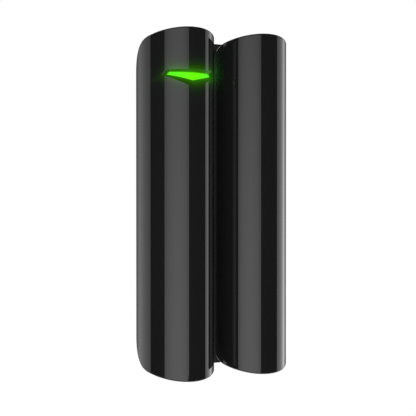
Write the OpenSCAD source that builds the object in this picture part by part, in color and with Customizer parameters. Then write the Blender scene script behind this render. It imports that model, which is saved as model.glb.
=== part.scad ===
// Door contact sensor: a detector column and a magnet column, side by side.
// The wall is the plane y = 0, the fronts face -Y and +Z is up.

/* [Columns] */
// Height of each column
column_h = 90; // [88:1:94]
// Diameter of the round front of each column
column_d = 20.5; // [20.3:0.1:20.7]
// Distance from the wall to the front line of each column
column_depth = 21; // [21:0.1:21.5]
// Distance between the axes of the two columns
column_pitch = 23; // [22.6:0.1:30]
// Slope of the cut across each end, in degrees
end_slope = 17.9; // [15:0.1:19]
// Radius that rounds the slope of each end into the back
end_arc_r = 9.1; // [8.8:0.1:9.4]

/* [Covers] */
// Wall thickness of the front covers
cover_t = 1.2; // [1.1:0.05:1.25]
// Depth of a front cover, from its front line to its back edge
cover_depth = 13.4; // [13.2:0.1:13.6]

/* [Lamp window] */
// Height of the window's top edge above the middle of the column
window_top = 34; // [33.8:0.1:34.4]
// Depth of the window below the cover's surface
window_sink = 0.85; // [0.6:0.05:0.9]
// Angle round the column at the window's top corners
window_corner_angle = 41; // [40:0.5:44]
// Angle round the column at the window's side tips
window_tip_angle = 48.5; // [47:0.5:51]
// Drop from the window's top edge to its bottom point
window_drop = 4.7; // [4.5:0.1:5]

/* [Rear trays] */
// Wall thickness of a tray's sides and ends
tray_t = 0.9; // [0.8:0.1:1]
// Thickness of a tray's back wall
tray_back_t = 0.7; // [0.6:0.05:0.75]
// Half the width of a tray's flat back
foot_half_w = 6; // [5.8:0.1:6.1]
// Outer radius of a tray's round sides
tray_r = 9.85; // [9.75:0.05:9.9]

/* [Wall plates] */
// Thickness of the detector's bracket and of the magnet's plate
plate_t = 1.4; // [1.2:0.1:1.4]
// Width of the detector's bracket
bracket_w = 10.6; // [10.4:0.1:10.8]
// Height of the detector's bracket below the column's middle
bracket_low = 32; // [31:0.5:32.5]
// Height of the detector's bracket above the column's middle
bracket_high = 26; // [25.6:0.1:26.4]
// Width of the magnet's plate
magnet_plate_w = 14; // [13:0.5:16]
// Height of the magnet's plate
magnet_plate_h = 88.6; // [86:0.2:88.8]
// Radius of the screw holes in the bracket and the plate
screw_hole_r = 1.6; // [1.5:0.05:1.7]
// Distance that a column lifts to come off its hooks
lift = 5; // [4.6:0.1:5]

/* [Cell] */
// Diameter of the lithium cell
cell_d = 17; // [16.8:0.05:17]
// Length of the lithium cell with its button
cell_l = 34.5; // [34:0.1:34.5]

/* [Board] */
// Width of the circuit board
board_w = 16.6; // [16:0.1:16.8]
// Thickness of the circuit board
board_t = 1; // [0.8:0.1:1]
// Height of the board's bottom edge above the column's middle
board_low = 7.1; // [7.1:0.05:7.2]
// Height of the board's top edge above the column's middle
board_high = 32.6; // [32.5:0.05:32.7]

/* [Hidden] */

// Smoothness of the large and of the small round shapes
big_fn = 128;
small_fn = 40;
arc_steps = 18;
// Length added to a cutting shape so that it passes its face
over = 1;

// Column outline: radius, axis, front line and the cover's back edge
column_r = column_d / 2;
axis_y = column_r - column_depth;
front_y = -column_depth;
cover_back_y = front_y + cover_depth;
// Centre of the arc that rounds an end into the back
arc_y = cover_back_y - end_arc_r;
arc_z = column_h / 2 - (end_arc_r + (arc_y - front_y) * sin(end_slope)) / cos(end_slope);

// Lamp window and lens
floor_r = column_r - window_sink;
window_tip_drop = 1.6;
lens_corner_angle = 38;
lens_tip_angle = 42.2;
lens_top_drop = 0.65;
lens_tip_drop = 1.4;
lens_point_drop = 2.75;
lens_gap = 0.05;
stem_r = 0.9;
stem_z = window_top - 1.8;

// Thick pad inside the cover, behind the window
pad_r = column_r - cover_t - 0.9;
pad_low = window_top - 5.6;
pad_high = window_top + 1.3;
pad_half_w = 8.3;
pad_back_y = axis_y - 3;
pad_blend = 0.1;

// Tray: heights, back faces and the gap to the bracket
tray_half_h = arc_z - 0.2;
tray_in_half_h = tray_half_h - 1;
tray_back_y = -plate_t - 0.25;
tray_in_y = tray_back_y - tray_back_t;
tray_in_r = tray_r - tray_t;
foot_in_half_w = foot_half_w - 0.8;
mouth_half_h = tray_in_half_h + 0.1;
mouth_half_w = 8.75;
tray_round = 1.2;
// Depth that posts and cross walls sink into the tray's back wall
root = 0.3;

// Hooks: place, width, stem height and lip
hook_low_z = -16;
hook_high_z = 20;
hook_in_x = 3.8;
hook_w = 1.2;
stem_h = 1.6;
lip_t = 0.7;
lip_h = lift - 0.8;
lip_y = tray_in_y - 0.1;
slot_gap = 0.2;
slot_low_gap = 0.1;
slot_high_gap = 0.05;

// Screw holes, tamper tab and cable hole of the bracket
screw_low_z = -25;
screw_high_z = 22.3;
countersink_r = 2.8;
countersink_t = 0.9;
magnet_screw_z = 39.5;
tab_low_z = 1.5;
tab_high_z = 13;
tab_half_w = 3.4;
tab_slot = 0.6;
tab_bridge = 0.8;
tab_bridge_x = 2.2;
tab_screw_z = 5.2;
cable_z = 17;
cable_r = 2.4;

// Cell, its end wall and the wall between cell and board
cell_r = cell_d / 2;
cell_y = axis_y - 0.35;
end_wall_t = 1;
metal_t = 0.4;
spring_h = 2.2;
end_wall_z = -tray_in_half_h;
strap_z = end_wall_z + end_wall_t;
cell_low_z = strap_z + metal_t + spring_h;
cell_high_z = cell_low_z + cell_l;
partition_z = cell_high_z + metal_t;
partition_t = 1;
wall_r = 8.6;
wall_front_y = front_y + 2.5;
contact_half_w = 1.5;
contact_t = 0.5;
contact_gap = 0.2;
cell_plate_r = 5;
strap_foot_r = 6;
strap_in_r = 8.48;
strap_t = 0.25;
strap_angle = 145;
strap_half_w = 1.5;
strap_gap = 0.15;
strap_tab_x = [-7.7, -6.9];
strap_tab_z = board_low + 0.1;

// Board, posts and board screws
board_front_y = -11.5;
board_back_y = board_front_y + board_t;
stem_y = board_front_y - 1.3;
post_x = 5.6;
post_low_z = 9;
post_high_z = 31;
post_r = 1.8;
pad_post_r = 1.2;
pilot_r = 0.9;
board_hole_r = 1;
screw_head_r = 1.7;
screw_head_t = 1.1;
screw_l = 5;
recess_half_w = 0.22;

// Parts on the front of the board
pin_pitch = 0.55;
pin_half_row = 3.5;
processor_z = 14.4;
processor_w = 5;
shield_z = 22.8;
crystal_low = [-4.2, 27.2];
crystal_high = [-1, 28.7];
resistor_x = 4.3;
resistor_z = 12.4;
resistor_step = 1.3;
capacitor_x = 0.8;
capacitor_step = 1.2;
capacitor_z = 28;
fuse_x = 2.4;
fuse_z = 30.6;
lamp_chip_z = 31.7;

// Reed switches
reed_x = 6.9;
reed_z = 19;
reed_r = 1.1;
reed_in_r = 0.85;
reed_l = 11;
reed_seal = 1.5;
reed_y = board_front_y - 1.3;
blade_t = 0.2;
blade_w = 0.9;
blade_overlap = 0.6;
reed_lead_r = 0.3;
reed_lead_out = 1.1;
blade_root_gap = 0.05;
touch_gap = 0.01;
guard_gap = 0.09;

// Tamper switch and plunger
tamper_z = 10.2;
tamper_hole_gap = 0.4;
switch_half_w = 3;
tamper_body_y = -5.2;
bore_floor_y = board_back_y + 0.6;
bore_r = 1.75;
plunger_r = 1.2;
plunger_flange_r = 1.7;
plunger_back_y = -plate_t - 0.05;
flange_y = -7.4;
flange_t = 0.8;
running_gap = 0.05;
switch_lip_t = 1;

// Power switch and button
power_z = 28.2;
power_body_y = -7.1;
button_head_r = 2.2;
button_flange_r = 2.7;
button_stem_r = 1.3;
button_back_y = tray_back_y - 0.2;
button_stem_y = -9.2;
button_flange_t = 0.8;
button_flange_gap = 0.5;
button_overlap = 0.1;
button_flange_y = tray_in_y - button_flange_gap - button_flange_t;
dome_t = 0.15;

// Terminal block
terminal_half_w = 4;
terminal_low_z = 14;
terminal_high_z = 20.4;
terminal_y = -4.4;
port_x = 1.3;
port_r = 0.9;
port_l = 5;
terminal_pin_r = 0.4;
terminal_pin_z = 18.2;
terminal_pin_out = 0.7;
terminal_pin_y = terminal_y - port_l - 0.2;

// Magnet, cradle and foam
magnet_w = 9;
magnet_h = 40;
magnet_back_y = -8;
magnet_front_y = -17;
cradle_half_w = 5.8;
cradle_ear_z = 24.5;
cradle_half_h = 27.5;
cradle_plate_t = 1;
cradle_back_y = magnet_back_y + cradle_plate_t;
cradle_gap = 0.05;
cradle_post_r = 2;
cradle_pilot_r = 0.75;
foam_half_w = 3.5;
foam_half_h = 15;
foam_t = 1.5;
cradle_finger_l = 4;
cradle_stop_l = 6;
cradle_stop_t = 1.3;
cradle_pilot_l = 3.5;
cradle_screw_r = 1.6;
cradle_screw_l = 4;

// Colours
gloss_black = [0.04, 0.04, 0.045];
satin_black = [0.07, 0.07, 0.075];
lamp_green = [0.35, 1, 0.1];
steel = [0.72, 0.73, 0.75];
board_green = [0.05, 0.3, 0.16];

// ---- Helpers ----

// Extrudes a shape drawn in (y, z) along X, centred on x = 0
module across(width) {
    rotate([90, 0, 90])
        linear_extrude(width, center = true)
            children();
}

// Extrudes a shape drawn in (x, z) from y0 back to y1
module front_to_back(y0, y1) {
    translate([0, y1, 0])
        rotate([90, 0, 0])
            linear_extrude(y1 - y0)
                children();
}

// Round bar along Y from y0 to y1
module bar_y(r, y0, y1, fn = small_fn) {
    translate([0, y0, 0])
        rotate([-90, 0, 0])
            cylinder(r = r, h = y1 - y0, $fn = fn);
}

// Box from its two opposite corners
module block(low, high) {
    translate(low)
        cube(high - low);
}

// Rectangle with round corners, between two opposite corners
module round_rect(low, high, r) {
    translate([low[0] + r, low[1]])
        square([high[0] - low[0] - 2 * r, high[1] - low[1]]);
    translate([low[0], low[1] + r])
        square([high[0] - low[0], high[1] - low[1] - 2 * r]);
    for (x = [low[0] + r, high[0] - r], z = [low[1] + r, high[1] - r])
        translate([x, z])
            circle(r = r, $fn = small_fn);
}

// Upright cylinder about the column's axis
module about_axis(r, z0, z1, fn = big_fn) {
    translate([0, axis_y, z0])
        cylinder(r = r, h = z1 - z0, $fn = fn);
}

// Wire coil about Z: start and end radius, height, turns and wire radius
module coil(r0, r1, height, turns, wire_r, sides = 8, steps = 14) {
    rings = floor(turns * steps);
    slope = height / (turns * PI * (r0 + r1));
    points = [
        for (i = [0:rings])
            let (
                t = i / rings,
                a = 360 * turns * t,
                r = r0 + (r1 - r0) * t,
                centre = [r * cos(a), r * sin(a), height * t],
                out = [cos(a), sin(a), 0],
                up = [sin(a) * slope, -cos(a) * slope, 1] / sqrt(1 + slope * slope)
            )
            for (k = [0:sides - 1])
                centre + wire_r * (cos(360 * k / sides) * out + sin(360 * k / sides) * up)
    ];
    skin = [
        for (i = [0:rings - 1], k = [0:sides - 1])
            let (a = i * sides + k, b = i * sides + (k + 1) % sides)
            [a, b, b + sides, a + sides]
    ];
    first = [for (k = [sides - 1:-1:0]) k];
    last = [for (k = [0:sides - 1]) rings * sides + k];
    polyhedron(points = points, faces = concat(skin, [first, last]));
}

// ---- Shapes that both columns share ----

// Arc from the slant of one end round to the back edge, in (y, z)
function end_arc(r) = [
    for (i = [0:arc_steps])
        let (a = (90 - end_slope) * (1 - i / arc_steps))
        [arc_y + r * cos(a), arc_z + r * sin(a)]
];

// Side view of a column, drawn in (y, z) and shrunk by inset
module side_view(inset) {
    line_z = column_h / 2 - inset / cos(end_slope) + over * tan(end_slope);
    top = end_arc(end_arc_r - inset);
    bottom = [for (i = [arc_steps:-1:0]) [top[i][0], -top[i][1]]];
    polygon(concat(
        [[front_y - over, -line_z], [front_y - over, line_z]],
        top,
        bottom
    ));
}

// Hollow of a cover, open at the back
module cover_hollow() {
    intersection() {
        union() {
            about_axis(column_r - cover_t, -column_h / 2, column_h / 2);
            block(
                [-mouth_half_w, axis_y, -column_h / 2],
                [mouth_half_w, cover_back_y + over, column_h / 2]
            );
        }
        across(column_d) {
            side_view(cover_t);
            translate([arc_y, -mouth_half_h])
                square([cover_back_y + over - arc_y, 2 * mouth_half_h]);
        }
    }
}

// Plain front cover
module cover_shell() {
    difference() {
        intersection() {
            about_axis(column_r, -column_h / 2, column_h / 2);
            across(column_d + over)
                side_view(0);
        }
        cover_hollow();
    }
}

// Section of a tray, drawn in (x, y): round sides and a flat foot
module tray_section(r, half_w, back_y, gap) {
    intersection() {
        union() {
            translate([0, axis_y])
                circle(r = r, $fn = big_fn);
            translate([-half_w, axis_y])
                square([2 * half_w, back_y - axis_y]);
        }
        translate([-column_r, cover_back_y - gap])
            square([column_d, back_y - cover_back_y + gap]);
    }
}

// Plain rear tray with its four hook slots
module tray_shell() {
    difference() {
        intersection() {
            translate([0, 0, -tray_half_h])
                linear_extrude(2 * tray_half_h)
                    tray_section(tray_r, foot_half_w, tray_back_y, 0);
            across(column_d)
                round_rect(
                    [cover_back_y - 2 * over, -tray_half_h],
                    [tray_back_y, tray_half_h],
                    tray_round
                );
        }
        translate([0, 0, -tray_in_half_h])
            linear_extrude(2 * tray_in_half_h)
                tray_section(tray_in_r, foot_in_half_w, tray_in_y, over);
        for (side = [-1, 1], z = [hook_low_z, hook_high_z])
            hook_slot(side, z);
    }
}

// Slot for one hook
module hook_slot(side, z) {
    x0 = hook_in_x - slot_gap;
    x1 = hook_in_x + hook_w + slot_gap;
    block(
        [min(side * x0, side * x1), tray_in_y - over, z - lift - slot_low_gap],
        [max(side * x0, side * x1), tray_back_y + over, z + stem_h + slot_high_gap]
    );
}

// One hook: a stem through the tray's slot and a lip that points up
module hook(side, z) {
    x0 = hook_in_x;
    x1 = hook_in_x + hook_w;
    low_x = min(side * x0, side * x1);
    high_x = max(side * x0, side * x1);
    block([low_x, lip_y - lip_t, z], [high_x, -plate_t / 2, z + stem_h]);
    block([low_x, lip_y - lip_t, z], [high_x, lip_y, z + stem_h + lip_h]);
}

// Four hooks of a plate
module hooks() {
    for (side = [-1, 1], z = [hook_low_z, hook_high_z])
        hook(side, z);
}

// Screw hole with a countersink on the front of a plate
module screw_hole(z) {
    translate([0, 0, z]) {
        bar_y(screw_hole_r, -plate_t - over, over);
        translate([0, -plate_t, 0])
            rotate([-90, 0, 0])
                cylinder(
                    r1 = countersink_r,
                    r2 = screw_hole_r,
                    h = countersink_t,
                    $fn = small_fn
                );
    }
}

// ---- Wall bracket ----

// Slots that let the tamper tab break away, with four bridges left
module tab_slots() {
    difference() {
        front_to_back(-plate_t - over, over)
            difference() {
                translate([-tab_half_w - tab_slot, tab_low_z - tab_slot])
                    square([2 * (tab_half_w + tab_slot), tab_high_z - tab_low_z + 2 * tab_slot]);
                translate([-tab_half_w, tab_low_z])
                    square([2 * tab_half_w, tab_high_z - tab_low_z]);
            }
        for (x = [-tab_bridge_x, tab_bridge_x])
            block(
                [x - tab_bridge / 2, -plate_t - 2 * over, tab_low_z - over],
                [x + tab_bridge / 2, 2 * over, tab_high_z + over]
            );
    }
}

module mounting_bracket() {
    color(satin_black) {
        difference() {
            front_to_back(-plate_t, 0)
                round_rect([-bracket_w / 2, -bracket_low], [bracket_w / 2, bracket_high], 2);
            screw_hole(screw_low_z);
            screw_hole(screw_high_z);
            screw_hole(tab_screw_z);
            tab_slots();
            translate([0, 0, cable_z])
                bar_y(cable_r, -plate_t - over, over);
        }
        hooks();
    }
}

// ---- Detector cover and lens ----

// Window outline in (x, z): a flat top, two side tips and a bottom point
module five_sides(r, corner_angle, tip_angle, top_z, tip_z, point_z) {
    corner_x = r * sin(corner_angle);
    tip_x = r * sin(tip_angle);
    polygon([
        [-corner_x, top_z],
        [corner_x, top_z],
        [tip_x, tip_z],
        [0, point_z],
        [-tip_x, tip_z]
    ]);
}

module window_outline() {
    five_sides(
        column_r,
        window_corner_angle,
        window_tip_angle,
        window_top,
        window_top - window_tip_drop,
        window_top - window_drop
    );
}

module lens_outline(gap) {
    five_sides(
        floor_r + gap,
        lens_corner_angle,
        lens_tip_angle,
        window_top - lens_top_drop + gap,
        window_top - lens_tip_drop,
        window_top - lens_point_drop - gap
    );
}

module front_cover() {
    color(gloss_black)
        difference() {
            union() {
                cover_shell();
                intersection() {
                    difference() {
                        about_axis(column_r - cover_t + pad_blend, pad_low, pad_high);
                        about_axis(pad_r, pad_low - over, pad_high + over);
                    }
                    block([-pad_half_w, front_y, pad_low], [pad_half_w, pad_back_y, pad_high]);
                }
            }
            intersection() {
                difference() {
                    about_axis(column_r + over, pad_low - over, pad_high + over);
                    about_axis(floor_r, pad_low - 2 * over, pad_high + 2 * over);
                }
                front_to_back(front_y - over, pad_back_y)
                    window_outline();
            }
            front_to_back(front_y - over, pad_back_y)
                lens_outline(lens_gap);
        }
}

module lamp_lens() {
    color(lamp_green) {
        intersection() {
            difference() {
                about_axis(floor_r, pad_low, pad_high);
                about_axis(pad_r, pad_low - over, pad_high + over);
            }
            front_to_back(front_y - over, pad_back_y)
                lens_outline(0);
        }
        translate([0, 0, stem_z])
            bar_y(stem_r, axis_y - (floor_r + pad_r) / 2, stem_y);
    }
}

// ---- Detector tray ----

// Post from the tray's back wall to the board, kept inside the tray
module post(x, z, r) {
    intersection() {
        translate([x, 0, z])
            bar_y(r, board_back_y, tray_in_y + root);
        translate([0, 0, -tray_half_h])
            linear_extrude(2 * tray_half_h)
                tray_section(
                    tray_in_r + root / 2,
                    foot_in_half_w + root / 2,
                    tray_in_y + root,
                    cover_back_y - board_back_y + over
                );
    }
}

// Upright wall across the tray, above and below the cell
module cross_wall(z, thickness) {
    intersection() {
        about_axis(wall_r, z, z + thickness);
        block(
            [-column_r, wall_front_y, z - over],
            [column_r, tray_in_y + root, z + thickness + over]
        );
    }
}

module rear_tray() {
    color(satin_black)
        difference() {
            union() {
                tray_shell();
                post(post_x, post_low_z, post_r);
                post(-post_x, post_high_z, post_r);
                post(-post_x, post_low_z, pad_post_r);
                post(post_x, post_high_z, pad_post_r);
                cross_wall(end_wall_z, end_wall_t);
                cross_wall(partition_z, partition_t);
            }
            for (p = [[post_x, post_low_z], [-post_x, post_high_z]])
                translate([p[0], 0, p[1]])
                    bar_y(pilot_r, board_back_y - over, board_back_y + screw_l);
            translate([0, 0, tamper_z])
                bar_y(plunger_r + tamper_hole_gap, tray_in_y - over, tray_back_y + over);
            translate([0, 0, cable_z])
                bar_y(cable_r, tray_in_y - over, tray_back_y + over);
            translate([0, 0, power_z])
                bar_y(button_head_r + 2 * running_gap, tray_in_y - over, tray_back_y + over);
            block(
                [
                    -contact_half_w - contact_gap,
                    board_front_y - contact_t - contact_gap,
                    partition_z - over
                ],
                [
                    contact_half_w + contact_gap,
                    board_front_y + contact_gap,
                    partition_z + partition_t + over
                ]
            );
            strap_strip(partition_z - over, partition_z + partition_t + over, strap_gap);
        }
}

// ---- Board and its parts ----

module circuit_board() {
    color(board_green)
        difference() {
            front_to_back(board_front_y, board_back_y)
                round_rect([-board_w / 2, board_low], [board_w / 2, board_high], 1);
            for (p = [[post_x, post_low_z], [-post_x, post_high_z]])
                translate([p[0], 0, p[1]])
                    bar_y(board_hole_r, board_front_y - over, board_back_y + over);
            for (x = [-port_x, port_x])
                translate([x, 0, terminal_pin_z])
                    bar_y(terminal_pin_r, board_front_y - over, board_back_y + over);
        }
}

// Pan-head screw along +Y with a cross recess, its head in front of head_y
module pan_screw(head_r, head_t, shank_r, head_y, tip_y) {
    difference() {
        union() {
            bar_y(head_r, head_y - head_t, head_y);
            bar_y(shank_r, head_y - 0.1, tip_y);
        }
        for (a = [0, 90])
            rotate([0, a, 0])
                block(
                    [-head_r * 0.6, head_y - head_t - over, -recess_half_w],
                    [head_r * 0.6, head_y - head_t * 0.45, recess_half_w]
                );
    }
}

module board_screws() {
    color(steel)
        for (p = [[post_x, post_low_z], [-post_x, post_high_z]])
            translate([p[0], 0, p[1]])
                pan_screw(
                    screw_head_r,
                    screw_head_t,
                    pilot_r,
                    board_front_y,
                    board_back_y + screw_l - 0.5
                );
}

// Box on the front of the board, centred on (x, z)
module front_part(x, z, w, h, t) {
    block(
        [x - w / 2, board_front_y - t, z - h / 2],
        [x + w / 2, board_front_y, z + h / 2]
    );
}

module lamp_chip() {
    body_t = 0.6;
    dome_r = 0.6;
    color("white") {
        front_part(0, lamp_chip_z, 2, 1.6, body_t);
        translate([0, 0, lamp_chip_z])
            bar_y(dome_r, board_front_y - body_t - 0.2, board_front_y - body_t / 2);
    }
}

module processor_chip() {
    pin_w = 0.22;
    pin_t = 0.2;
    span = processor_w + 1;
    color([0.1, 0.1, 0.11]) {
        front_part(0, processor_z, processor_w, processor_w, 1);
        for (i = [-pin_half_row:1:pin_half_row]) {
            front_part(i * pin_pitch, processor_z, pin_w, span, pin_t);
            front_part(0, processor_z + i * pin_pitch, span, pin_w, pin_t);
        }
    }
}

module radio_shield() {
    can_w = 9;
    can_h = 6.6;
    can_t = 1.6;
    sheet = 0.2;
    color(steel)
        difference() {
            front_part(0, shield_z, can_w, can_h, can_t);
            block(
                [sheet - can_w / 2, board_front_y - can_t + sheet, shield_z + sheet - can_h / 2],
                [can_w / 2 - sheet, board_front_y + over, shield_z + can_h / 2 - sheet]
            );
        }
}

module timing_crystal() {
    color(steel)
        front_to_back(board_front_y - 0.8, board_front_y)
            round_rect(crystal_low, crystal_high, 0.3);
}

module chip_parts() {
    color([0.72, 0.6, 0.42]) {
        for (i = [0:3]) {
            for (side = [-1, 1])
                front_part(side * resistor_x, resistor_z + i * resistor_step, 1, 0.5, 0.45);
            front_part(capacitor_x + i * capacitor_step, capacitor_z, 0.5, 1, 0.45);
        }
        for (side = [-1, 1])
            front_part(side * fuse_x, fuse_z, 1.6, 0.8, 0.55);
    }
}

module antenna_coil() {
    coil_l = 8.4;
    coil_r = 1.4;
    coil_x = -6.2;
    coil_y = board_front_y - 1.9;
    coil_z = 9.3;
    wire_r = 0.25;
    color([0.85, 0.68, 0.3]) {
        translate([coil_x, coil_y, coil_z])
            rotate([0, 90, 0])
                coil(coil_r, coil_r, coil_l, 7, wire_r);
        for (x = [coil_x, coil_x + coil_l])
            translate([x, coil_y, coil_z - coil_r])
                bar_y(wire_r, 0, board_front_y - coil_y);
    }
}

// ---- Reed switches ----

// Glass tube with sealed ends
module reed_glass() {
    difference() {
        translate([0, reed_y, reed_z - reed_l / 2])
            cylinder(r = reed_r, h = reed_l, $fn = small_fn);
        translate([0, reed_y, reed_z - reed_l / 2 + reed_seal])
            cylinder(r = reed_in_r, h = reed_l - 2 * reed_seal, $fn = small_fn);
        for (end = [-1, 1])
            translate([0, reed_y, reed_z + end * (reed_l - reed_seal) / 2])
                cylinder(r = reed_lead_r, h = reed_seal + over, center = true, $fn = small_fn);
    }
}

// Fixed blade with its lead, and the lead at the moving blade's end
module reed_leads(gap) {
    inside = reed_l / 2 - reed_seal;
    lead_l = reed_seal + reed_lead_out;
    for (end = [-1, 1]) {
        translate([0, reed_y, reed_z + end * (inside + lead_l / 2)])
            cylinder(r = reed_lead_r, h = lead_l, center = true, $fn = small_fn);
        translate([0, reed_y, reed_z + end * (inside + lead_l)])
            sphere(r = reed_lead_r, $fn = small_fn);
        translate([0, 0, reed_z + end * (inside + lead_l)])
            bar_y(reed_lead_r, reed_y, board_front_y);
    }
    block(
        [gap, reed_y - blade_w / 2, reed_z - blade_overlap],
        [gap + blade_t, reed_y + blade_w / 2, reed_z + inside]
    );
}

// Moving blade, on the -X side of the fixed one
module reed_blade(gap) {
    block(
        [-gap - blade_t, reed_y - blade_w / 2, reed_z - reed_l / 2 + reed_seal + blade_root_gap],
        [-gap, reed_y + blade_w / 2, reed_z + blade_overlap]
    );
}

module main_reed_glass() {
    color([0.6, 0.75, 0.7, 0.4])
        translate([reed_x, 0, 0])
            reed_glass();
}

module main_reed_leads() {
    color(steel)
        translate([reed_x, 0, 0])
            reed_leads(touch_gap);
}

module main_reed_blade() {
    color(steel)
        translate([reed_x, 0, 0])
            reed_blade(touch_gap);
}

module guard_reed_glass() {
    color([0.6, 0.75, 0.7, 0.4])
        translate([-reed_x, 0, 0])
            reed_glass();
}

module guard_reed_leads() {
    color(steel)
        translate([-reed_x, 0, 0])
            reed_leads(guard_gap);
}

module guard_reed_blade() {
    color(steel)
        translate([-reed_x, 0, 0])
            reed_blade(0);
}

// ---- Cell and its contacts ----

module cell() {
    button_r = 3.2;
    button_h = 1;
    edge = 0.5;
    groove_t = 0.25;
    can_h = cell_l - button_h;
    groove_z = can_h - 2.1;
    color([0.18, 0.2, 0.24])
        translate([0, cell_y, cell_low_z])
            rotate_extrude($fn = big_fn)
                polygon([
                    [0, 0],
                    [cell_r - edge, 0],
                    [cell_r, edge],
                    [cell_r, groove_z - 2 * groove_t],
                    [cell_r - groove_t, groove_z - groove_t],
                    [cell_r - groove_t, groove_z + groove_t],
                    [cell_r, groove_z + 2 * groove_t],
                    [cell_r, can_h - edge],
                    [cell_r - edge, can_h],
                    [button_r, can_h],
                    [button_r, cell_l],
                    [0, cell_l]
                ]);
}

module cell_spring() {
    wire_r = 0.3;
    color(steel)
        translate([0, cell_y, strap_z + metal_t + wire_r])
            coil(5.2, 3, spring_h - 2 * wire_r, 3, wire_r);
}

module cell_plate() {
    color(steel) {
        translate([0, cell_y, cell_high_z])
            cylinder(r = cell_plate_r, h = metal_t, $fn = small_fn);
        block(
            [-contact_half_w, board_front_y - contact_t, cell_high_z],
            [contact_half_w, board_front_y, board_low + 1]
        );
    }
}

// Strip that runs up the tray's side, between the cell and the wall
module strap_strip(z0, z1, gap) {
    intersection() {
        difference() {
            about_axis(strap_in_r + strap_t + gap, z0, z1);
            about_axis(strap_in_r - gap, z0 - over, z1 + over);
        }
        translate([0, axis_y, z0])
            rotate([0, 0, strap_angle])
                translate([0, -strap_half_w - gap, 0])
                    cube([column_r, 2 * (strap_half_w + gap), z1 - z0]);
    }
}

module cell_strap() {
    foot_in = strap_foot_r - 2;
    color(steel) {
        translate([0, cell_y, strap_z])
            cylinder(r = strap_foot_r, h = metal_t, $fn = small_fn);
        translate([0, axis_y, strap_z])
            rotate([0, 0, strap_angle])
                translate([foot_in, -strap_half_w, 0])
                    cube([strap_in_r + strap_t / 2 - foot_in, 2 * strap_half_w, metal_t]);
        strap_strip(strap_z, strap_tab_z + metal_t, 0);
        intersection() {
            block(
                [strap_tab_x[0], board_back_y, strap_tab_z],
                [strap_tab_x[1], axis_y + strap_in_r, strap_tab_z + metal_t]
            );
            about_axis(strap_in_r + strap_t / 2, strap_tab_z - over, strap_tab_z + 2 * metal_t);
        }
    }
}

// ---- Tamper switch ----

// Square switch body on the back of the board, with a stepped bore
module switch_body(z, back_y, stem_r) {
    difference() {
        block(
            [-switch_half_w, board_back_y, z - switch_half_w],
            [switch_half_w, back_y, z + switch_half_w]
        );
        translate([0, 0, z]) {
            bar_y(bore_r, bore_floor_y, back_y - switch_lip_t);
            bar_y(stem_r + running_gap, back_y - switch_lip_t - over, back_y + over);
        }
    }
}

module tamper_switch() {
    color([0.12, 0.12, 0.13])
        switch_body(tamper_z, tamper_body_y, plunger_r);
}

module tamper_plunger() {
    color([0.85, 0.85, 0.82])
        translate([0, 0, tamper_z]) {
            bar_y(plunger_flange_r, flange_y, flange_y + flange_t);
            bar_y(plunger_r, flange_y, plunger_back_y);
        }
}

module tamper_spring() {
    wire_r = 0.15;
    color(steel)
        translate([0, bore_floor_y + wire_r, tamper_z])
            rotate([-90, 0, 0])
                coil(1.2, 1.2, flange_y - bore_floor_y - 2 * wire_r, 4, wire_r, 8, 12);
}

// ---- Power switch ----

module power_switch() {
    color([0.12, 0.12, 0.13])
        switch_body(power_z, power_body_y, button_stem_r);
}

module power_button() {
    color([0.2, 0.2, 0.21])
        translate([0, 0, power_z]) {
            bar_y(button_stem_r, button_stem_y, button_flange_y + button_flange_t / 2);
            bar_y(button_flange_r, button_flange_y, button_flange_y + button_flange_t);
            bar_y(
                button_head_r,
                button_flange_y + button_flange_t - button_overlap,
                button_back_y
            );
        }
}

module power_dome() {
    dome_h = button_stem_y - bore_floor_y;
    half_w = bore_r - 0.1;
    outer_r = (half_w * half_w + dome_h * dome_h) / (2 * dome_h);
    color(steel)
        translate([0, bore_floor_y + dome_h - outer_r, power_z])
            intersection() {
                difference() {
                    sphere(r = outer_r, $fn = big_fn);
                    sphere(r = outer_r - dome_t, $fn = big_fn);
                }
                bar_y(half_w, outer_r - dome_h, outer_r + over);
            }
}

// ---- Terminal block ----

module terminal_block() {
    color([0.1, 0.28, 0.2])
        difference() {
            block(
                [-terminal_half_w, board_back_y, terminal_low_z],
                [terminal_half_w, terminal_y, terminal_high_z]
            );
            for (x = [-port_x, port_x])
                translate([x, 0, 0]) {
                    translate([0, 0, cable_z])
                        bar_y(port_r, terminal_y - port_l, terminal_y + over);
                    translate([0, 0, terminal_pin_z])
                        bar_y(terminal_pin_r, board_back_y - over, terminal_pin_y);
                }
        }
}

module terminal_pins() {
    color(steel)
        for (x = [-port_x, port_x])
            translate([x, 0, terminal_pin_z])
                bar_y(terminal_pin_r, board_front_y - terminal_pin_out, terminal_pin_y);
}

// ---- Magnet column ----

module magnet_plate() {
    color(satin_black)
        translate([column_pitch, 0, 0]) {
            difference() {
                front_to_back(-plate_t, 0)
                    round_rect(
                        [-magnet_plate_w / 2, -magnet_plate_h / 2],
                        [magnet_plate_w / 2, magnet_plate_h / 2],
                        0.6
                    );
                screw_hole(magnet_screw_z);
                screw_hole(-magnet_screw_z);
            }
            hooks();
        }
}

module magnet_tray() {
    color(satin_black)
        translate([column_pitch, 0, 0])
            difference() {
                union() {
                    tray_shell();
                    for (side = [-1, 1])
                        translate([0, 0, side * cradle_ear_z])
                            bar_y(cradle_post_r, cradle_back_y, tray_in_y + root);
                }
                for (side = [-1, 1])
                    translate([0, 0, side * cradle_ear_z])
                        bar_y(
                            cradle_pilot_r,
                            magnet_back_y - over,
                            cradle_back_y + cradle_pilot_l
                        );
            }
}

module magnet_cover() {
    color(gloss_black)
        translate([column_pitch, 0, 0])
            cover_shell();
}

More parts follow.
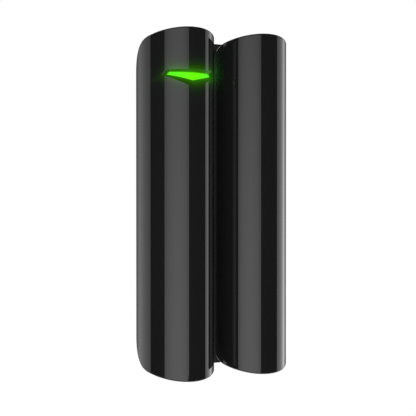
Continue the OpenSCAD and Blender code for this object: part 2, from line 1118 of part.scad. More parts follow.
module magnet_cradle() {
    finger_front_y = magnet_back_y - cradle_finger_l;
    stop_front_y = magnet_back_y - cradle_stop_l;
    pocket_half_w = magnet_w / 2 + cradle_gap;
    pocket_half_h = magnet_h / 2 + cradle_gap;
    color([0.75, 0.75, 0.72])
        translate([column_pitch, 0, 0])
            difference() {
                union() {
                    block(
                        [-cradle_half_w, magnet_back_y, -cradle_half_h],
                        [cradle_half_w, cradle_back_y, cradle_half_h]
                    );
                    block(
                        [-cradle_half_w, stop_front_y, -pocket_half_h - cradle_stop_t],
                        [cradle_half_w, magnet_back_y, pocket_half_h + cradle_stop_t]
                    );
                }
                block(
                    [-pocket_half_w, stop_front_y - over, -pocket_half_h],
                    [pocket_half_w, magnet_back_y, pocket_half_h]
                );
                block(
                    [-cradle_half_w - over, stop_front_y - over, -pocket_half_h],
                    [cradle_half_w + over, finger_front_y, pocket_half_h]
                );
                for (side = [-1, 1])
                    translate([0, 0, side * cradle_ear_z])
                        bar_y(
                            cradle_pilot_r + 0.1,
                            magnet_back_y - over,
                            cradle_back_y + over
                        );
            }
}

module bar_magnet() {
    color([0.6, 0.6, 0.62])
        translate([column_pitch, 0, 0])
            block(
                [-magnet_w / 2, magnet_front_y, -magnet_h / 2],
                [magnet_w / 2, magnet_back_y, magnet_h / 2]
            );
}

module foam_pad() {
    color([0.25, 0.25, 0.26])
        translate([column_pitch, 0, 0])
            front_to_back(magnet_front_y - foam_t, magnet_front_y)
                round_rect([-foam_half_w, -foam_half_h], [foam_half_w, foam_half_h], 1);
}

module cradle_screws() {
    color(steel)
        for (side = [-1, 1])
            translate([column_pitch, 0, side * cradle_ear_z])
                pan_screw(
                    cradle_screw_r,
                    1,
                    cradle_pilot_r,
                    magnet_back_y,
                    magnet_back_y + cradle_screw_l
                );
}

mounting_bracket();
front_cover();
lamp_lens();
rear_tray();
circuit_board();
board_screws();
lamp_chip();
processor_chip();
radio_shield();
timing_crystal();
chip_parts();
antenna_coil();
main_reed_glass();
main_reed_leads();
main_reed_blade();
guard_reed_glass();
guard_reed_leads();
guard_reed_blade();
cell();
cell_spring();
cell_plate();
cell_strap();
tamper_switch();
tamper_plunger();
tamper_spring();
power_switch();
power_button();
power_dome();
terminal_block();
terminal_pins();
magnet_plate();
magnet_tray();
magnet_cover();
magnet_cradle();
bar_magnet();
foam_pad();
cradle_screws();
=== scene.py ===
"""Looks of a door contact sensor: a lit detector column beside a magnet column.

Sizes inside the classes are in millimetres, and Skin turns them into metres.
The wall is the plane y = 0, the fronts face -Y and +Z is up.
"""

from __future__ import annotations

import logging
import math
from collections.abc import Callable, Sequence
from dataclasses import dataclass, field
from enum import Enum
from itertools import product
from typing import TypeVar

import bpy
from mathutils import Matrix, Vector
from mathutils.geometry import delaunay_2d_cdt


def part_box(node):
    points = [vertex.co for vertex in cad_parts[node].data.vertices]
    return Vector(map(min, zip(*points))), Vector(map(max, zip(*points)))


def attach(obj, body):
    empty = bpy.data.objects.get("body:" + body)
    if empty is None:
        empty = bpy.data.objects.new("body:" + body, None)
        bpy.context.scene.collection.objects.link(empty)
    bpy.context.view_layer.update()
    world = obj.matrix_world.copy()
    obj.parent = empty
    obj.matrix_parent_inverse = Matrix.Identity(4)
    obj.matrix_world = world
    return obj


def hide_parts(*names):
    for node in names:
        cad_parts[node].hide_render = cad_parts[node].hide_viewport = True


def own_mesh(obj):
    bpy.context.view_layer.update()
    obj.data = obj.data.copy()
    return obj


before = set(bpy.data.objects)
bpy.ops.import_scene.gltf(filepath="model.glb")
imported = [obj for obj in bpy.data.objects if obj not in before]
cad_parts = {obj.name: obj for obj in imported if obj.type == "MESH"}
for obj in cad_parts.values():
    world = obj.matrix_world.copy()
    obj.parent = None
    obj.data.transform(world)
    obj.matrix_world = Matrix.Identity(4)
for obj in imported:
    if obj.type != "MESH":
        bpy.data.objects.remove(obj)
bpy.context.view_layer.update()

MM = 0.001
WELD_STEPS_PER_MM = 20000
SAME_POINT = 1e-7
NO_LENGTH = 1e-9
NO_AREA = 1e-8
SAME_WIDTH = 1e-6
SMOOTH_JOINT = 0.8
POINTS_PER_TURN = 28
WELD_GAP_MM = 0.0005
SOFT_EDGE_ANGLE = math.radians(32)
log = logging.getLogger("sensor")

Pair = tuple[float, float]
Triple = tuple[float, float, float]
Corner = tuple[Vector, Vector]
Item = TypeVar("Item")


# ---- Small geometry helpers ----


def spread(low: float, high: float, steps: int) -> list[float]:
    """Returns steps + 1 evenly spaced values from low to high."""
    return [low + (high - low) * i / steps for i in range(steps + 1)]


def part_way(start: Pair, end: Pair, share: float) -> Pair:
    """Returns the flat point at a share of the way from start to end."""
    return start[0] + (end[0] - start[0]) * share, start[1] + (end[1] - start[1]) * share


def sides(loop: Sequence[Item]) -> list[tuple[Item, Item]]:
    """Returns each item of a closed loop with the next one, and the last with the first."""
    return list(zip(loop, (*loop[1:], loop[0])))


def grown(corners: Sequence[Pair], distance: float) -> list[Pair]:
    """Moves every side of a clockwise outline outwards.

    Args:
        corners: The outline's corners, clockwise.
        distance: How far each side moves out, or in where it is below zero.

    Returns:
        The corners of the moved outline, in the same order.
    """
    count = len(corners)
    out = []
    for i in range(count):
        here = Vector(corners[i])
        before = (here - Vector(corners[i - 1])).normalized()
        after = (Vector(corners[(i + 1) % count]) - here).normalized()
        n0 = Vector((-before.y, before.x))
        n1 = Vector((-after.y, after.x))
        mitre = (n0 + n1) / (1 + n0.dot(n1))
        out.append(tuple(here + mitre * distance))
    return out


def around(corners: Sequence[Pair], steps: int) -> list[Pair]:
    """Returns the outline with each side cut into a number of equal steps."""
    return [part_way(start, end, k / steps) for start, end in sides(corners) for k in range(steps)]


def is_inside(point: Pair, loop: Sequence[Pair]) -> bool:
    """Tells whether a flat point lies inside a closed loop."""
    inside = False
    x, z = point
    for (x0, z0), (x1, z1) in sides(loop):
        if (z0 > z) != (z1 > z) and x < (x1 - x0) * (z - z0) / (z1 - z0) + x0:
            inside = not inside
    return inside


def gap_to(point: Pair, loop: Sequence[Pair]) -> float:
    """Returns the distance from a flat point to the nearest side of a loop.

    Args:
        point: The point.
        loop: The loop's corners.

    Returns:
        The distance.
    """
    best = math.inf
    p = Vector(point)
    for start, end in sides(loop):
        from_start = p - Vector(start)
        side = Vector(end) - Vector(start)
        share = max(0.0, min(1.0, from_start.dot(side) / side.length_squared))
        best = min(best, (from_start - side * share).length)
    return best


def square_to(up: Vector) -> tuple[Vector, Vector]:
    """Returns two directions that are square to a direction and to each other."""
    out = up.orthogonal().normalized()
    return out, up.cross(out)


def spokes(out: Vector, side: Vector, count: int) -> list[Vector]:
    """Returns evenly spread directions all round, from out towards side."""
    angles = [math.tau * i / count for i in range(count)]
    return [out * math.cos(a) + side * math.sin(a) for a in angles]


def placed(name: str, data: bpy.types.ID) -> bpy.types.Object:
    """Adds an object to the scene, made of a mesh, a light or a camera, and returns it."""
    thing = bpy.data.objects.new(name, data)
    bpy.context.scene.collection.objects.link(thing)
    return thing


class Skin:
    """Collects faces whose corners carry their own normals, and makes one mesh of them."""

    def __init__(self) -> None:
        """Starts an empty skin."""
        self.points: list[Vector] = []
        self.seen: dict[tuple[int, ...], int] = {}
        self.faces: list[list[int]] = []
        self.normals: list[Vector] = []
        self.finishes: list[int] = []
        self.finish = 0

    def vertex(self, point: Vector) -> int:
        """Returns the number of the vertex at a point, shared by all faces that meet there."""
        key = tuple(round(c * WELD_STEPS_PER_MM) for c in point)
        if key not in self.seen:
            self.seen[key] = len(self.points)
            self.points.append(Vector(point))
        return self.seen[key]

    def face(self, corners: Sequence[Corner]) -> None:
        """Adds one face, turned so that it looks along its corners' normals.

        Args:
            corners: The face's corners in order, each a point and a normal.
        """
        ids: list[int] = []
        normals: list[Vector] = []
        for point, normal in corners:
            i = self.vertex(point)
            if i not in ids:
                ids.append(i)
                normals.append(normal)
        if len(ids) < 3:
            return
        origin = self.points[ids[0]]
        turn = Vector((0, 0, 0))
        for i in range(1, len(ids) - 1):
            turn += (self.points[ids[i]] - origin).cross(self.points[ids[i + 1]] - origin)
        if turn.length < NO_AREA:
            return
        if turn.dot(sum(normals, Vector((0, 0, 0)))) < 0:
            ids.reverse()
            normals.reverse()
        self.faces.append(ids)
        self.normals.extend(normals)
        self.finishes.append(self.finish)

    def grid(self, rows: Sequence[Sequence[Corner]], closed: bool = False) -> None:
        """Joins neighbouring rows of corners with four-sided faces.

        Args:
            rows: Rows of equal length.
            closed: Whether each row's last corner joins its first.
        """
        for low, high in zip(rows, rows[1:]):
            for i in range(0 if closed else 1, len(low)):
                self.face([low[i - 1], low[i], high[i], high[i - 1]])

    def fill(
        self,
        rim: Sequence[Pair],
        hole: Sequence[Pair],
        inner: Sequence[Pair],
        place: Callable[[float, float], Corner],
    ) -> None:
        """Fills a flat outline with triangles and lays them on a curved surface.

        Args:
            rim: The outline.
            hole: A hole's outline, or an empty list.
            inner: More points that the triangles use.
            place: Gives the corner on the surface for a flat point.
        """
        flat = [*rim, *hole, *inner]
        edges = sides(range(len(rim)))
        if hole:
            edges += sides(range(len(rim), len(rim) + len(hole)))
        made = delaunay_2d_cdt([Vector(p) for p in flat], edges, [], 0, SAME_POINT)
        verts, triangles, origins = made[0], made[2], made[3]
        exact = [flat[o[0]] if o else tuple(v) for v, o in zip(verts, origins)]
        for triangle in triangles:
            centre = tuple(sum((Vector(exact[i]) for i in triangle), Vector((0, 0))) / 3)
            if is_inside(centre, rim) and not (hole and is_inside(centre, hole)):
                self.face([place(*exact[i]) for i in triangle])

    def block(self, low: Triple, high: Triple, edge: float) -> None:
        """Adds a box with soft edges.

        Args:
            low: Its lowest corner.
            high: Its highest corner.
            edge: Width of the soft edges.
        """
        centre = (Vector(low) + Vector(high)) / 2
        half = (Vector(high) - Vector(low)) / 2

        def corner(signs: Triple, axis: int) -> Corner:
            """Returns the corner of the flat face that looks along one axis."""
            point = Vector(
                centre[k] + signs[k] * (half[k] - (0 if k == axis else edge)) for k in range(3)
            )
            normal = Vector(float(signs[k]) if k == axis else 0.0 for k in range(3))
            return point, normal

        for axis in range(3):
            u, v = [k for k in range(3) if k != axis]
            for side in (-1, 1):
                ring = []
                for a, b in ((-1, -1), (1, -1), (1, 1), (-1, 1)):
                    signs = [0, 0, 0]
                    signs[axis], signs[u], signs[v] = side, a, b
                    ring.append(corner(tuple(signs), axis))
                self.face(ring)
                for other in (-1, 1):
                    ends = []
                    for along in (-1, 1):
                        signs = [0, 0, 0]
                        signs[u], signs[v], signs[axis] = side, other, along
                        ends.append(tuple(signs))
                    self.face(
                        [corner(ends[0], u), corner(ends[1], u), corner(ends[1], v), corner(ends[0], v)]
                    )
        for signs in product((-1, 1), repeat=3):
            self.face([corner(signs, k) for k in range(3)])

    def turned(
        self, base: Triple, axis: Triple, profile: Sequence[Pair], steps: int = 48
    ) -> None:
        """Adds a turned shape.

        Args:
            base: The point that the profile's heights start from.
            axis: The direction of the heights.
            profile: Radius and height pairs from one end to the other.
            steps: Number of sides round the axis.
        """
        up = Vector(axis).normalized()
        radials = spokes(*square_to(up), steps)
        slopes = []
        for (r0, h0), (r1, h1) in zip(profile, profile[1:]):
            slope = Vector((h1 - h0, r0 - r1))
            slopes.append(slope.normalized() if slope.length > NO_LENGTH else Vector((0.0, 1.0)))

        def joined(here: int, other: int) -> Vector:
            """Returns a stretch's slope, averaged with another's where the two join smoothly."""
            slope = slopes[here]
            if 0 <= other < len(slopes) and slope.dot(slopes[other]) > SMOOTH_JOINT:
                return (slope + slopes[other]).normalized()
            return slope

        for k, (start, end) in enumerate(zip(profile, profile[1:])):
            rows = []
            for (radius, height), slope in ((start, joined(k, k - 1)), (end, joined(k, k + 1))):
                middle = Vector(base)
                rows.append(
                    [
                        (middle + radial * radius + up * height, radial * slope.x + up * slope.y)
                        for radial in radials
                    ]
                )
            self.grid(rows, closed=True)

    def tube(self, path: Sequence[Triple], radius: float, count: int = 12) -> None:
        """Adds a round wire along a path, with domed ends.

        Args:
            path: The points of its centre line.
            radius: The wire's radius.
            count: Number of sides round the wire.
        """
        line = [Vector(p) for p in path]
        out, _ = square_to((line[1] - line[0]).normalized())
        rows = []
        dome = [math.radians(a) for a in (88, 60, 30)]
        last = len(line) - 1
        for i, here in enumerate(line):
            ahead = (line[min(i + 1, last)] - line[max(i - 1, 0)]).normalized()
            out = (out - ahead * out.dot(ahead)).normalized()
            side = ahead.cross(out)
            if i == 0:
                stations = [(-math.sin(a), math.cos(a)) for a in dome] + [(0.0, 1.0)]
            elif i == last:
                stations = [(0.0, 1.0)] + [(math.sin(a), math.cos(a)) for a in reversed(dome)]
            else:
                stations = [(0.0, 1.0)]
            for along, width in stations:
                normals = [radial * width + ahead * along for radial in spokes(out, side, count)]
                rows.append([(here + normal * radius, normal) for normal in normals])
        self.grid(rows, closed=True)
        for row, way in ((rows[0], line[0] - line[1]), (rows[-1], line[-1] - line[-2])):
            self.face([(point, way.normalized()) for point, _ in row])

    def mesh(self, name: str) -> bpy.types.Mesh:
        """Returns a new mesh of the faces, in metres."""
        mesh = bpy.data.meshes.new(name)
        mesh.from_pydata([p * MM for p in self.points], [], self.faces)
        return mesh

    def make(self, name: str, body: str, slot: str, *materials: bpy.types.Material) -> bpy.types.Object:
        """Makes the mesh object, which rides on a body.

        Args:
            name: The piece's name.
            body: The body that it rides on.
            slot: Not used.
            *materials: Its materials, in the order of the finish numbers.

        Returns:
            The new object.
        """
        mesh = self.mesh(name)
        for material in materials:
            mesh.materials.append(material)
        mesh.polygons.foreach_set("use_smooth", [True] * len(self.faces))
        mesh.polygons.foreach_set("material_index", self.finishes)
        mesh.normals_split_custom_set([n.normalized() for n in self.normals])
        mesh.update()
        piece = placed(name, mesh)
        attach(piece, body)
        log.info("%s: %d faces on %s", name, len(self.faces), body)
        return piece


def rounded(profile: Sequence[Pair], radius: float, steps: int = 4) -> list[Pair]:
    """Rounds the inner corners of a turned profile.

    Args:
        profile: Radius and height pairs.
        radius: The rounding's radius, cut down where a side is short.
        steps: Number of steps in each rounding.

    Returns:
        The profile with its corners rounded.
    """
    out = [profile[0]]
    for before, here, after in zip(profile, profile[1:], profile[2:]):
        a, p, b = Vector(before), Vector(here), Vector(after)
        cut = min(radius, (a - p).length * 0.45, (b - p).length * 0.45)
        start = p + (a - p).normalized() * cut
        end = p + (b - p).normalized() * cut
        for k in range(steps + 1):
            t = k / steps
            out.append(tuple(start * (1 - t) ** 2 + p * 2 * t * (1 - t) + end * t**2))
    out.append(profile[-1])
    return out


# ---- Finishes ----


def shaded(colour: Triple, factor: float) -> Triple:
    """Returns a colour made paler or darker by a factor."""
    return tuple(c * factor for c in colour)


class Shader:
    """A material's nodes, with short ways to add and join them."""

    def __init__(self, name: str) -> None:
        """Starts a material with a plain surface shader.

        Args:
            name: The material's name.
        """
        self.material = bpy.data.materials.new(name)
        self.material.use_nodes = True
        self.nodes = self.material.node_tree.nodes
        self.links = self.material.node_tree.links
        self.surface = self.nodes["Principled BSDF"]
        self.place = self.add("ShaderNodeTexCoord").outputs["Object"]

    def add(self, kind: str, **inputs: object) -> bpy.types.Node:
        """Adds a node.

        Args:
            kind: The node's type.
            **inputs: Values or sockets for its inputs, by name with _ for a space.

        Returns:
            The new node.
        """
        node = self.nodes.new(kind)
        for name, value in inputs.items():
            self.join(node.inputs[name.replace("_", " ")], value)
        return node

    def join(self, socket: bpy.types.NodeSocket, value: object) -> None:
        """Links a socket to another, or sets its value."""
        if isinstance(value, bpy.types.NodeSocket):
            self.links.new(value, socket)
        else:
            socket.default_value = value

    def set(self, **inputs: object) -> None:
        """Sets or links the surface shader's own inputs, by name with _ for a space."""
        for name, value in inputs.items():
            self.join(self.surface.inputs[name.replace("_", " ")], value)

    def show(self, surface: bpy.types.Node) -> None:
        """Shows another surface shader in place of the plain one."""
        self.links.new(surface.outputs[0], self.nodes["Material Output"].inputs["Surface"])

    def math(
        self, operation: str, a: object, b: object = 0.0, kind: str = "ShaderNodeMath"
    ) -> bpy.types.NodeSocket:
        """Returns the result of a sum of two numbers, or of two places.

        Args:
            operation: The sum.
            a: Its first value or socket.
            b: Its second value or socket.
            kind: The type of node that works it out.

        Returns:
            The result.
        """
        node = self.nodes.new(kind)
        node.operation = operation
        self.join(node.inputs[0], a)
        self.join(node.inputs[1], b)
        return node.outputs[0]

    def noise(self, scale: float, detail: float = 3.0, stretch: Triple = (1, 1, 1)) -> bpy.types.NodeSocket:
        """Returns a fine random pattern.

        Args:
            scale: Number of blotches in a metre.
            detail: Number of finer layers.
            stretch: How much denser it is along each axis.

        Returns:
            The pattern, a number from 0 to 1.
        """
        spot = self.add("ShaderNodeMapping", Vector=self.place, Scale=stretch)
        made = self.add("ShaderNodeTexNoise", Vector=spot.outputs[0], Scale=scale, Detail=detail)
        return made.outputs[0]

    def between(
        self, value: object, low: float, high: float, start: float = 0.3, end: float = 0.7
    ) -> bpy.types.NodeSocket:
        """Returns the value moved from the span start to end onto the span low to high."""
        node = self.add("ShaderNodeMapRange", Value=value)
        for name, number in (("From Min", start), ("From Max", end), ("To Min", low), ("To Max", high)):
            node.inputs[name].default_value = number
        return node.outputs[0]

    def blend(self, share: object, first: object, second: object) -> bpy.types.NodeSocket:
        """Returns a colour that goes from the first to the second with the share."""
        node = self.nodes.new("ShaderNodeMix")
        node.data_type = "RGBA"
        self.join(node.inputs[0], share)
        for socket, value in ((node.inputs[6], first), (node.inputs[7], second)):
            self.join(socket, (*value, 1.0) if isinstance(value, tuple) else value)
        return node.outputs[2]

    def relief(
        self, height: bpy.types.NodeSocket, depth_mm: float, over: object = None
    ) -> bpy.types.NodeSocket:
        """Returns surface normals that show a pattern as relief.

        Args:
            height: The pattern.
            depth_mm: The relief's depth.
            over: Normals of a coarser relief beneath it, if there is one.

        Returns:
            The normals.
        """
        node = self.add("ShaderNodeBump", Height=height, Distance=depth_mm * MM, Strength=1.0)
        if over is not None:
            self.join(node.inputs["Normal"], over)
        return node.outputs[0]

    def outside(self, along: object, height: object, outline: Sequence[Pair]) -> bpy.types.NodeSocket:
        """Returns how far a flat point lies outside a clockwise outline, or 0 within it.

        Args:
            along: The point's first part.
            height: The point's second part.
            outline: The outline's corners.

        Returns:
            The distance.
        """
        far: object = 0.0
        for (x0, z0), (x1, z1) in sides(outline):
            side = Vector((x1 - x0, z1 - z0)).normalized()
            across = self.math("MULTIPLY", along, -side.y)
            up = self.math("MULTIPLY", height, side.x)
            shift = x0 * side.y - z0 * side.x
            far = self.math("MAXIMUM", far, self.math("ADD", self.math("ADD", across, up), shift))
        return far

    def spot_distance(self, centre: Triple, reach: Triple) -> bpy.types.NodeSocket:
        """Returns the distance from a centre, in reaches along each axis, both in millimetres."""
        kind = "ShaderNodeVectorMath"
        moved = self.math("SUBTRACT", self.place, [c * MM for c in centre], kind)
        scaled = self.math("DIVIDE", moved, [c * MM for c in reach], kind)
        length = self.nodes.new(kind)
        length.operation = "LENGTH"
        self.join(length.inputs[0], scaled)
        return length.outputs["Value"]


@dataclass(frozen=True)
class PaintedWindowGlow:
    """Painted glow: soft green emission painted into the plastic round the lens, standing in for the lens's
    light.
    """

    outline: tuple[Pair, ...]
    column_r: float
    colour: Triple = (0.1, 1.0, 0.0)
    levels: tuple[Pair, Pair] = ((30.0, 0.17), (34.0, 0.21))
    middle: tuple[Pair, Pair] = ((5.5, 1.0), (9.3, 0.4))
    fade_mm: float = 1.0
    # Colour painted in where the painted glow is strong: painted light, not the plastic's own colour.
    tint: Triple = (0.0052, 0.0052, 0.0)
    painted_tint_full_at: float = 0.05

    def shine(self, shader: Shader, base: object) -> None:
        """Paints the lens's glow into a material as emission, and paints a green tint into its own colour
        there by taking the blue out.

        Args:
            shader: The material.
            base: Its own colour.
        """
        parts = shader.add("ShaderNodeSeparateXYZ", Vector=shader.place).outputs
        along = shader.math("ARCSINE", shader.math("DIVIDE", parts["X"], self.column_r * MM))
        along = shader.math("MULTIPLY", along, self.column_r)
        height = shader.math("DIVIDE", parts["Z"], MM)
        beyond = shader.outside(along, height, self.outline)
        fade = shader.math("EXPONENT", shader.math("MULTIPLY", beyond, -1 / self.fade_mm))
        (low_z, low), (high_z, high) = self.levels
        (near, full), (far, dim) = self.middle
        level = shader.between(height, low, high, low_z, high_z)
        share = shader.between(shader.math("ABSOLUTE", along), full, dim, near, far)
        front = shader.math("LESS_THAN", parts["Y"], -self.column_r * MM)
        level = shader.math("MULTIPLY", shader.math("MULTIPLY", level, share), front)
        light = shader.math("MULTIPLY", fade, level)
        # Painted light: the base colour turns to the green tint where the painted glow is strong.
        painted_tint_share = shader.between(light, 0.0, 1.0, 0.0, self.painted_tint_full_at)
        shader.set(
            Base_Color=shader.blend(painted_tint_share, base, self.tint),
            Emission_Color=(*self.colour, 1.0),
            Emission_Strength=light,
        )


@dataclass(frozen=True)
class PolishedBlack:
    """Black plastic from a polished mould."""

    name: str = "polished_black"
    base: Triple = (0.0052, 0.0052, 0.0056)
    glow: PaintedWindowGlow | None = None

    def build(self) -> bpy.types.Material:
        """Returns the material: a sharp gloss with faint moulding waves and haze."""
        shader = Shader(self.name)
        base = shader.blend(shader.noise(700.0), self.base, shaded(self.base, 1.25))
        shader.set(
            Base_Color=base,
            Roughness=shader.between(shader.noise(350.0, detail=5.0), 0.035, 0.06),
            IOR=1.5,
        )
        waves = shader.relief(shader.noise(260.0, detail=1.0), 0.00035)
        shader.set(Normal=shader.relief(shader.noise(2600.0, detail=2.0), 0.00005, waves))
        # Where a glow is given, the lens's green light is painted into the material as emission and tint.
        if self.glow:
            self.glow.shine(shader, base)
        return shader.material


class Plastic(Enum):
    """Moulded plastics and ceramics, each as a colour and a roughness."""

    SATIN_BLACK = ((0.012, 0.012, 0.0125), 0.36)
    SWITCH_BLACK = ((0.02, 0.02, 0.022), 0.4)
    CHIP_BLACK = ((0.016, 0.016, 0.018), 0.5)
    CHIP_MARK = ((0.16, 0.16, 0.16), 0.55)
    CERAMIC_TAN = ((0.36, 0.24, 0.13), 0.42)
    LAMP_WHITE = ((0.68, 0.68, 0.64), 0.35)
    PLUNGER_WHITE = ((0.6, 0.6, 0.57), 0.38)
    BUTTON_GREY = ((0.12, 0.12, 0.125), 0.42)
    TERMINAL_GREEN = ((0.012, 0.11, 0.05), 0.38)
    CRADLE_GREY = ((0.07, 0.07, 0.073), 0.45)


@dataclass(frozen=True)
class GrainedPlastic:
    """Moulded plastic with a fine spark-eroded grain."""

    plastic: Plastic
    grain_mm: float = 0.006

    def build(self) -> bpy.types.Material:
        """Returns the material: a soft gloss broken up by grain and flow marks."""
        base, roughness = self.plastic.value
        shader = Shader(self.plastic.name.lower())
        shader.set(
            Base_Color=shader.blend(shader.noise(240.0, detail=4.0), base, shaded(base, 0.78)),
            Roughness=shader.between(shader.noise(900.0, detail=4.0), roughness - 0.08, roughness + 0.08),
            IOR=1.5,
        )
        flow = shader.relief(shader.noise(300.0, detail=1.0, stretch=(1, 1, 0.3)), 0.003)
        shader.set(Normal=shader.relief(shader.noise(5200.0, detail=3.0), self.grain_mm, flow))
        return shader.material


class Plating(Enum):
    """Metals, each as a colour and a roughness."""

    ZINC = ((0.6, 0.6, 0.58), 0.34)
    TIN = ((0.65, 0.65, 0.66), 0.28)
    NICKEL = ((0.62, 0.6, 0.56), 0.2)
    BARE_ALLOY = ((0.5, 0.49, 0.47), 0.3)
    GILT = ((0.75, 0.55, 0.22), 0.24)
    SOLDER = ((0.6, 0.6, 0.62), 0.18)


@dataclass(frozen=True)
class Metal:
    """A plated or bare metal with fine drawing lines."""

    plating: Plating
    lines: Triple = (1, 1, 12)

    def build(self) -> bpy.types.Material:
        """Returns the material: metal with faint lines, stains and a varied gloss."""
        colour, roughness = self.plating.value
        shader = Shader(self.plating.name.lower())
        shader.set(
            Base_Color=shader.blend(shader.noise(500.0, detail=5.0), colour, shaded(colour, 0.8)),
            Metallic=1.0,
            Roughness=shader.between(shader.noise(1200.0, detail=4.0), roughness - 0.07, roughness + 0.1),
            Normal=shader.relief(shader.noise(1500.0, detail=3.0, stretch=self.lines), 0.0015),
        )
        return shader.material


@dataclass(frozen=True)
class LitLens:
    """Translucent green plastic that is lit from behind."""

    name: str = "lit_lens"
    centre: Triple = (0.0, -20.2, 32.4)
    bright: Triple = (0.132, 0.82, 0.0)
    cool: Triple = (0.087, 0.82, 0.01)

    def build(self) -> bpy.types.Material:
        """Returns the material: brightest and most yellow before the lamp."""
        shader = Shader(self.name)
        away = shader.spot_distance(self.centre, (5.0, 6.0, 5.0))
        fine = shader.between(shader.noise(1800.0, detail=3.0), -0.05, 0.05)
        share = shader.between(shader.math("ADD", away, fine), 0.0, 1.0, 0.1, 1.0)
        shader.set(
            Base_Color=(0.015, 0.12, 0.002, 1.0),
            Roughness=0.3,
            IOR=1.5,
            Specular_IOR_Level=0.08,
            Emission_Color=shader.blend(share, self.bright, self.cool),
            Emission_Strength=1.0,
            Normal=shader.relief(shader.noise(2500.0, detail=2.0), 0.001),
        )
        return shader.material


@dataclass(frozen=True)
class BoardMask:
    """Green solder mask over a woven glass board."""

    name: str = "board_mask"
    mask: Triple = (0.008, 0.075, 0.032)
    thread_mm: float = 0.45
    wave_ratio: float = 3.1416

    def build(self) -> bpy.types.Material:
        """Returns the material: mask with the weave showing faintly through it."""
        shader = Shader(self.name)
        scale = 1 / (self.thread_mm * MM * self.wave_ratio)
        threads = []
        for direction in ("X", "Z"):
            wave = shader.add("ShaderNodeTexWave", Vector=shader.place, Scale=scale / 2)
            wave.bands_direction = direction
            threads.append(wave.outputs["Fac"])
        weave = shader.math("MULTIPLY", *threads)
        pale = shaded(self.mask, 1.5)
        shader.set(
            Base_Color=shader.blend(shader.between(weave, 0.0, 0.6, 0.0, 1.0), self.mask, pale),
            Roughness=shader.between(shader.noise(900.0), 0.24, 0.36),
            Coat_Weight=0.5,
            Coat_Roughness=0.12,
            Normal=shader.relief(weave, 0.004),
        )
        return shader.material


@dataclass(frozen=True)
class TrackMask:
    """Green solder mask over raised copper."""

    name: str = "track_mask"
    mask: Triple = (0.022, 0.14, 0.06)

    def build(self) -> bpy.types.Material:
        """Returns the material: paler than the bare board, with slight waves."""
        shader = Shader(self.name)
        shader.set(
            Base_Color=shader.blend(shader.noise(700.0), self.mask, shaded(self.mask, 1.3)),
            Roughness=shader.between(shader.noise(900.0), 0.22, 0.34),
            Coat_Weight=0.5,
            Coat_Roughness=0.12,
            Normal=shader.relief(shader.noise(1500.0), 0.001),
        )
        return shader.material


@dataclass(frozen=True)
class SealedGlass:
    """Pale green glass of a sealed tube."""

    name: str = "sealed_glass"

    def build(self) -> bpy.types.Material:
        """Returns the material: clear glass with slight drawing waves."""
        shader = Shader(self.name)
        tint = shader.blend(shader.noise(400.0), (0.78, 0.93, 0.84), (0.68, 0.88, 0.77))
        shader.set(
            Base_Color=tint,
            Roughness=0.02,
            Transmission_Weight=1.0,
            IOR=1.5,
            Normal=shader.relief(shader.noise(500.0, detail=1.0, stretch=(1, 1, 0.2)), 0.002),
        )
        return shader.material


@dataclass(frozen=True)
class CellWrap:
    """Shrink film round a metal can, bare at both ends."""

    low_z: float
    high_z: float
    band_shares: Pair = (0.7, 0.82)
    steel: Triple = (0.55, 0.55, 0.56)
    name: str = "cell_wrap"
    film: Triple = (0.012, 0.02, 0.045)
    band: Triple = (0.3, 0.31, 0.33)

    def build(self) -> bpy.types.Material:
        """Returns the material: dark film with one pale band, and steel at the ends."""
        shader = Shader(self.name)
        height = shader.add("ShaderNodeSeparateXYZ", Vector=shader.place).outputs["Z"]

        def above(level: float) -> bpy.types.NodeSocket:
            """Returns 1 above a height in millimetres and 0 below it."""
            return shader.math("GREATER_THAN", height, level * MM)

        span = self.high_z - self.low_z
        in_band = shader.math("SUBTRACT", *(above(self.low_z + span * s) for s in self.band_shares))
        covered = shader.math("SUBTRACT", above(self.low_z), above(self.high_z))
        printed = shader.blend(in_band, self.film, self.band)
        shader.set(
            Base_Color=shader.blend(covered, self.steel, printed),
            Metallic=shader.math("SUBTRACT", 1.0, covered),
            Roughness=shader.between(shader.noise(500.0, detail=4.0), 0.16, 0.3),
            Normal=shader.relief(shader.noise(180.0, detail=3.0, stretch=(1, 1, 2.5)), 0.02),
        )
        return shader.material


@dataclass(frozen=True)
class Foam:
    """Open-cell foam."""

    name: str = "foam"
    base: Triple = (0.055, 0.055, 0.06)

    def build(self) -> bpy.types.Material:
        """Returns the material: cells that sink into the surface, with painted shade darkening their sunken
        middles.
        """
        shader = Shader(self.name)
        cells = shader.add("ShaderNodeTexVoronoi", Vector=shader.place, Scale=2600.0).outputs["Distance"]
        # Painted shade: the colour is darkest at the middle of each cell, where the relief sinks deepest,
        # and pale at the cell walls.
        pale = shaded(self.base, 1.8)
        shader.set(
            Base_Color=shader.blend(shader.between(cells, 0.0, 1.0, 0.1, 0.6), self.base, pale),
            Roughness=0.95,
            Normal=shader.relief(cells, 0.12),
        )
        return shader.material


def dress(node: str, material: bpy.types.Material, edge_mm: float = 0.0) -> None:
    """Gives a solid its finish, and soft edges where it has room for them.

    Args:
        node: The solid's name.
        material: Its finish.
        edge_mm: Width of the soft edges, or 0 to leave them sharp.
    """
    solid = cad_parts[node]
    solid.data.materials.clear()
    solid.data.materials.append(material)
    if edge_mm:
        attributes = solid.data.attributes
        for name in ("custom_normal", "sharp_edge", "sharp_face"):
            if name in attributes:
                attributes.remove(attributes[name])
        solid.data.polygons.foreach_set("use_smooth", [True] * len(solid.data.polygons))
        weld = solid.modifiers.new("weld", "WELD")
        weld.merge_threshold = WELD_GAP_MM * MM
        soft = solid.modifiers.new("soft_edges", "BEVEL")
        soft.width = edge_mm * MM
        soft.segments = 2
        soft.limit_method = "ANGLE"
        soft.angle_limit = SOFT_EDGE_ANGLE
        soft.harden_normals = True
        soft.miter_outer = "MITER_ARC"
    log.info("%s: dressed in %s", node, material.name)


# ---- Inner parts ----


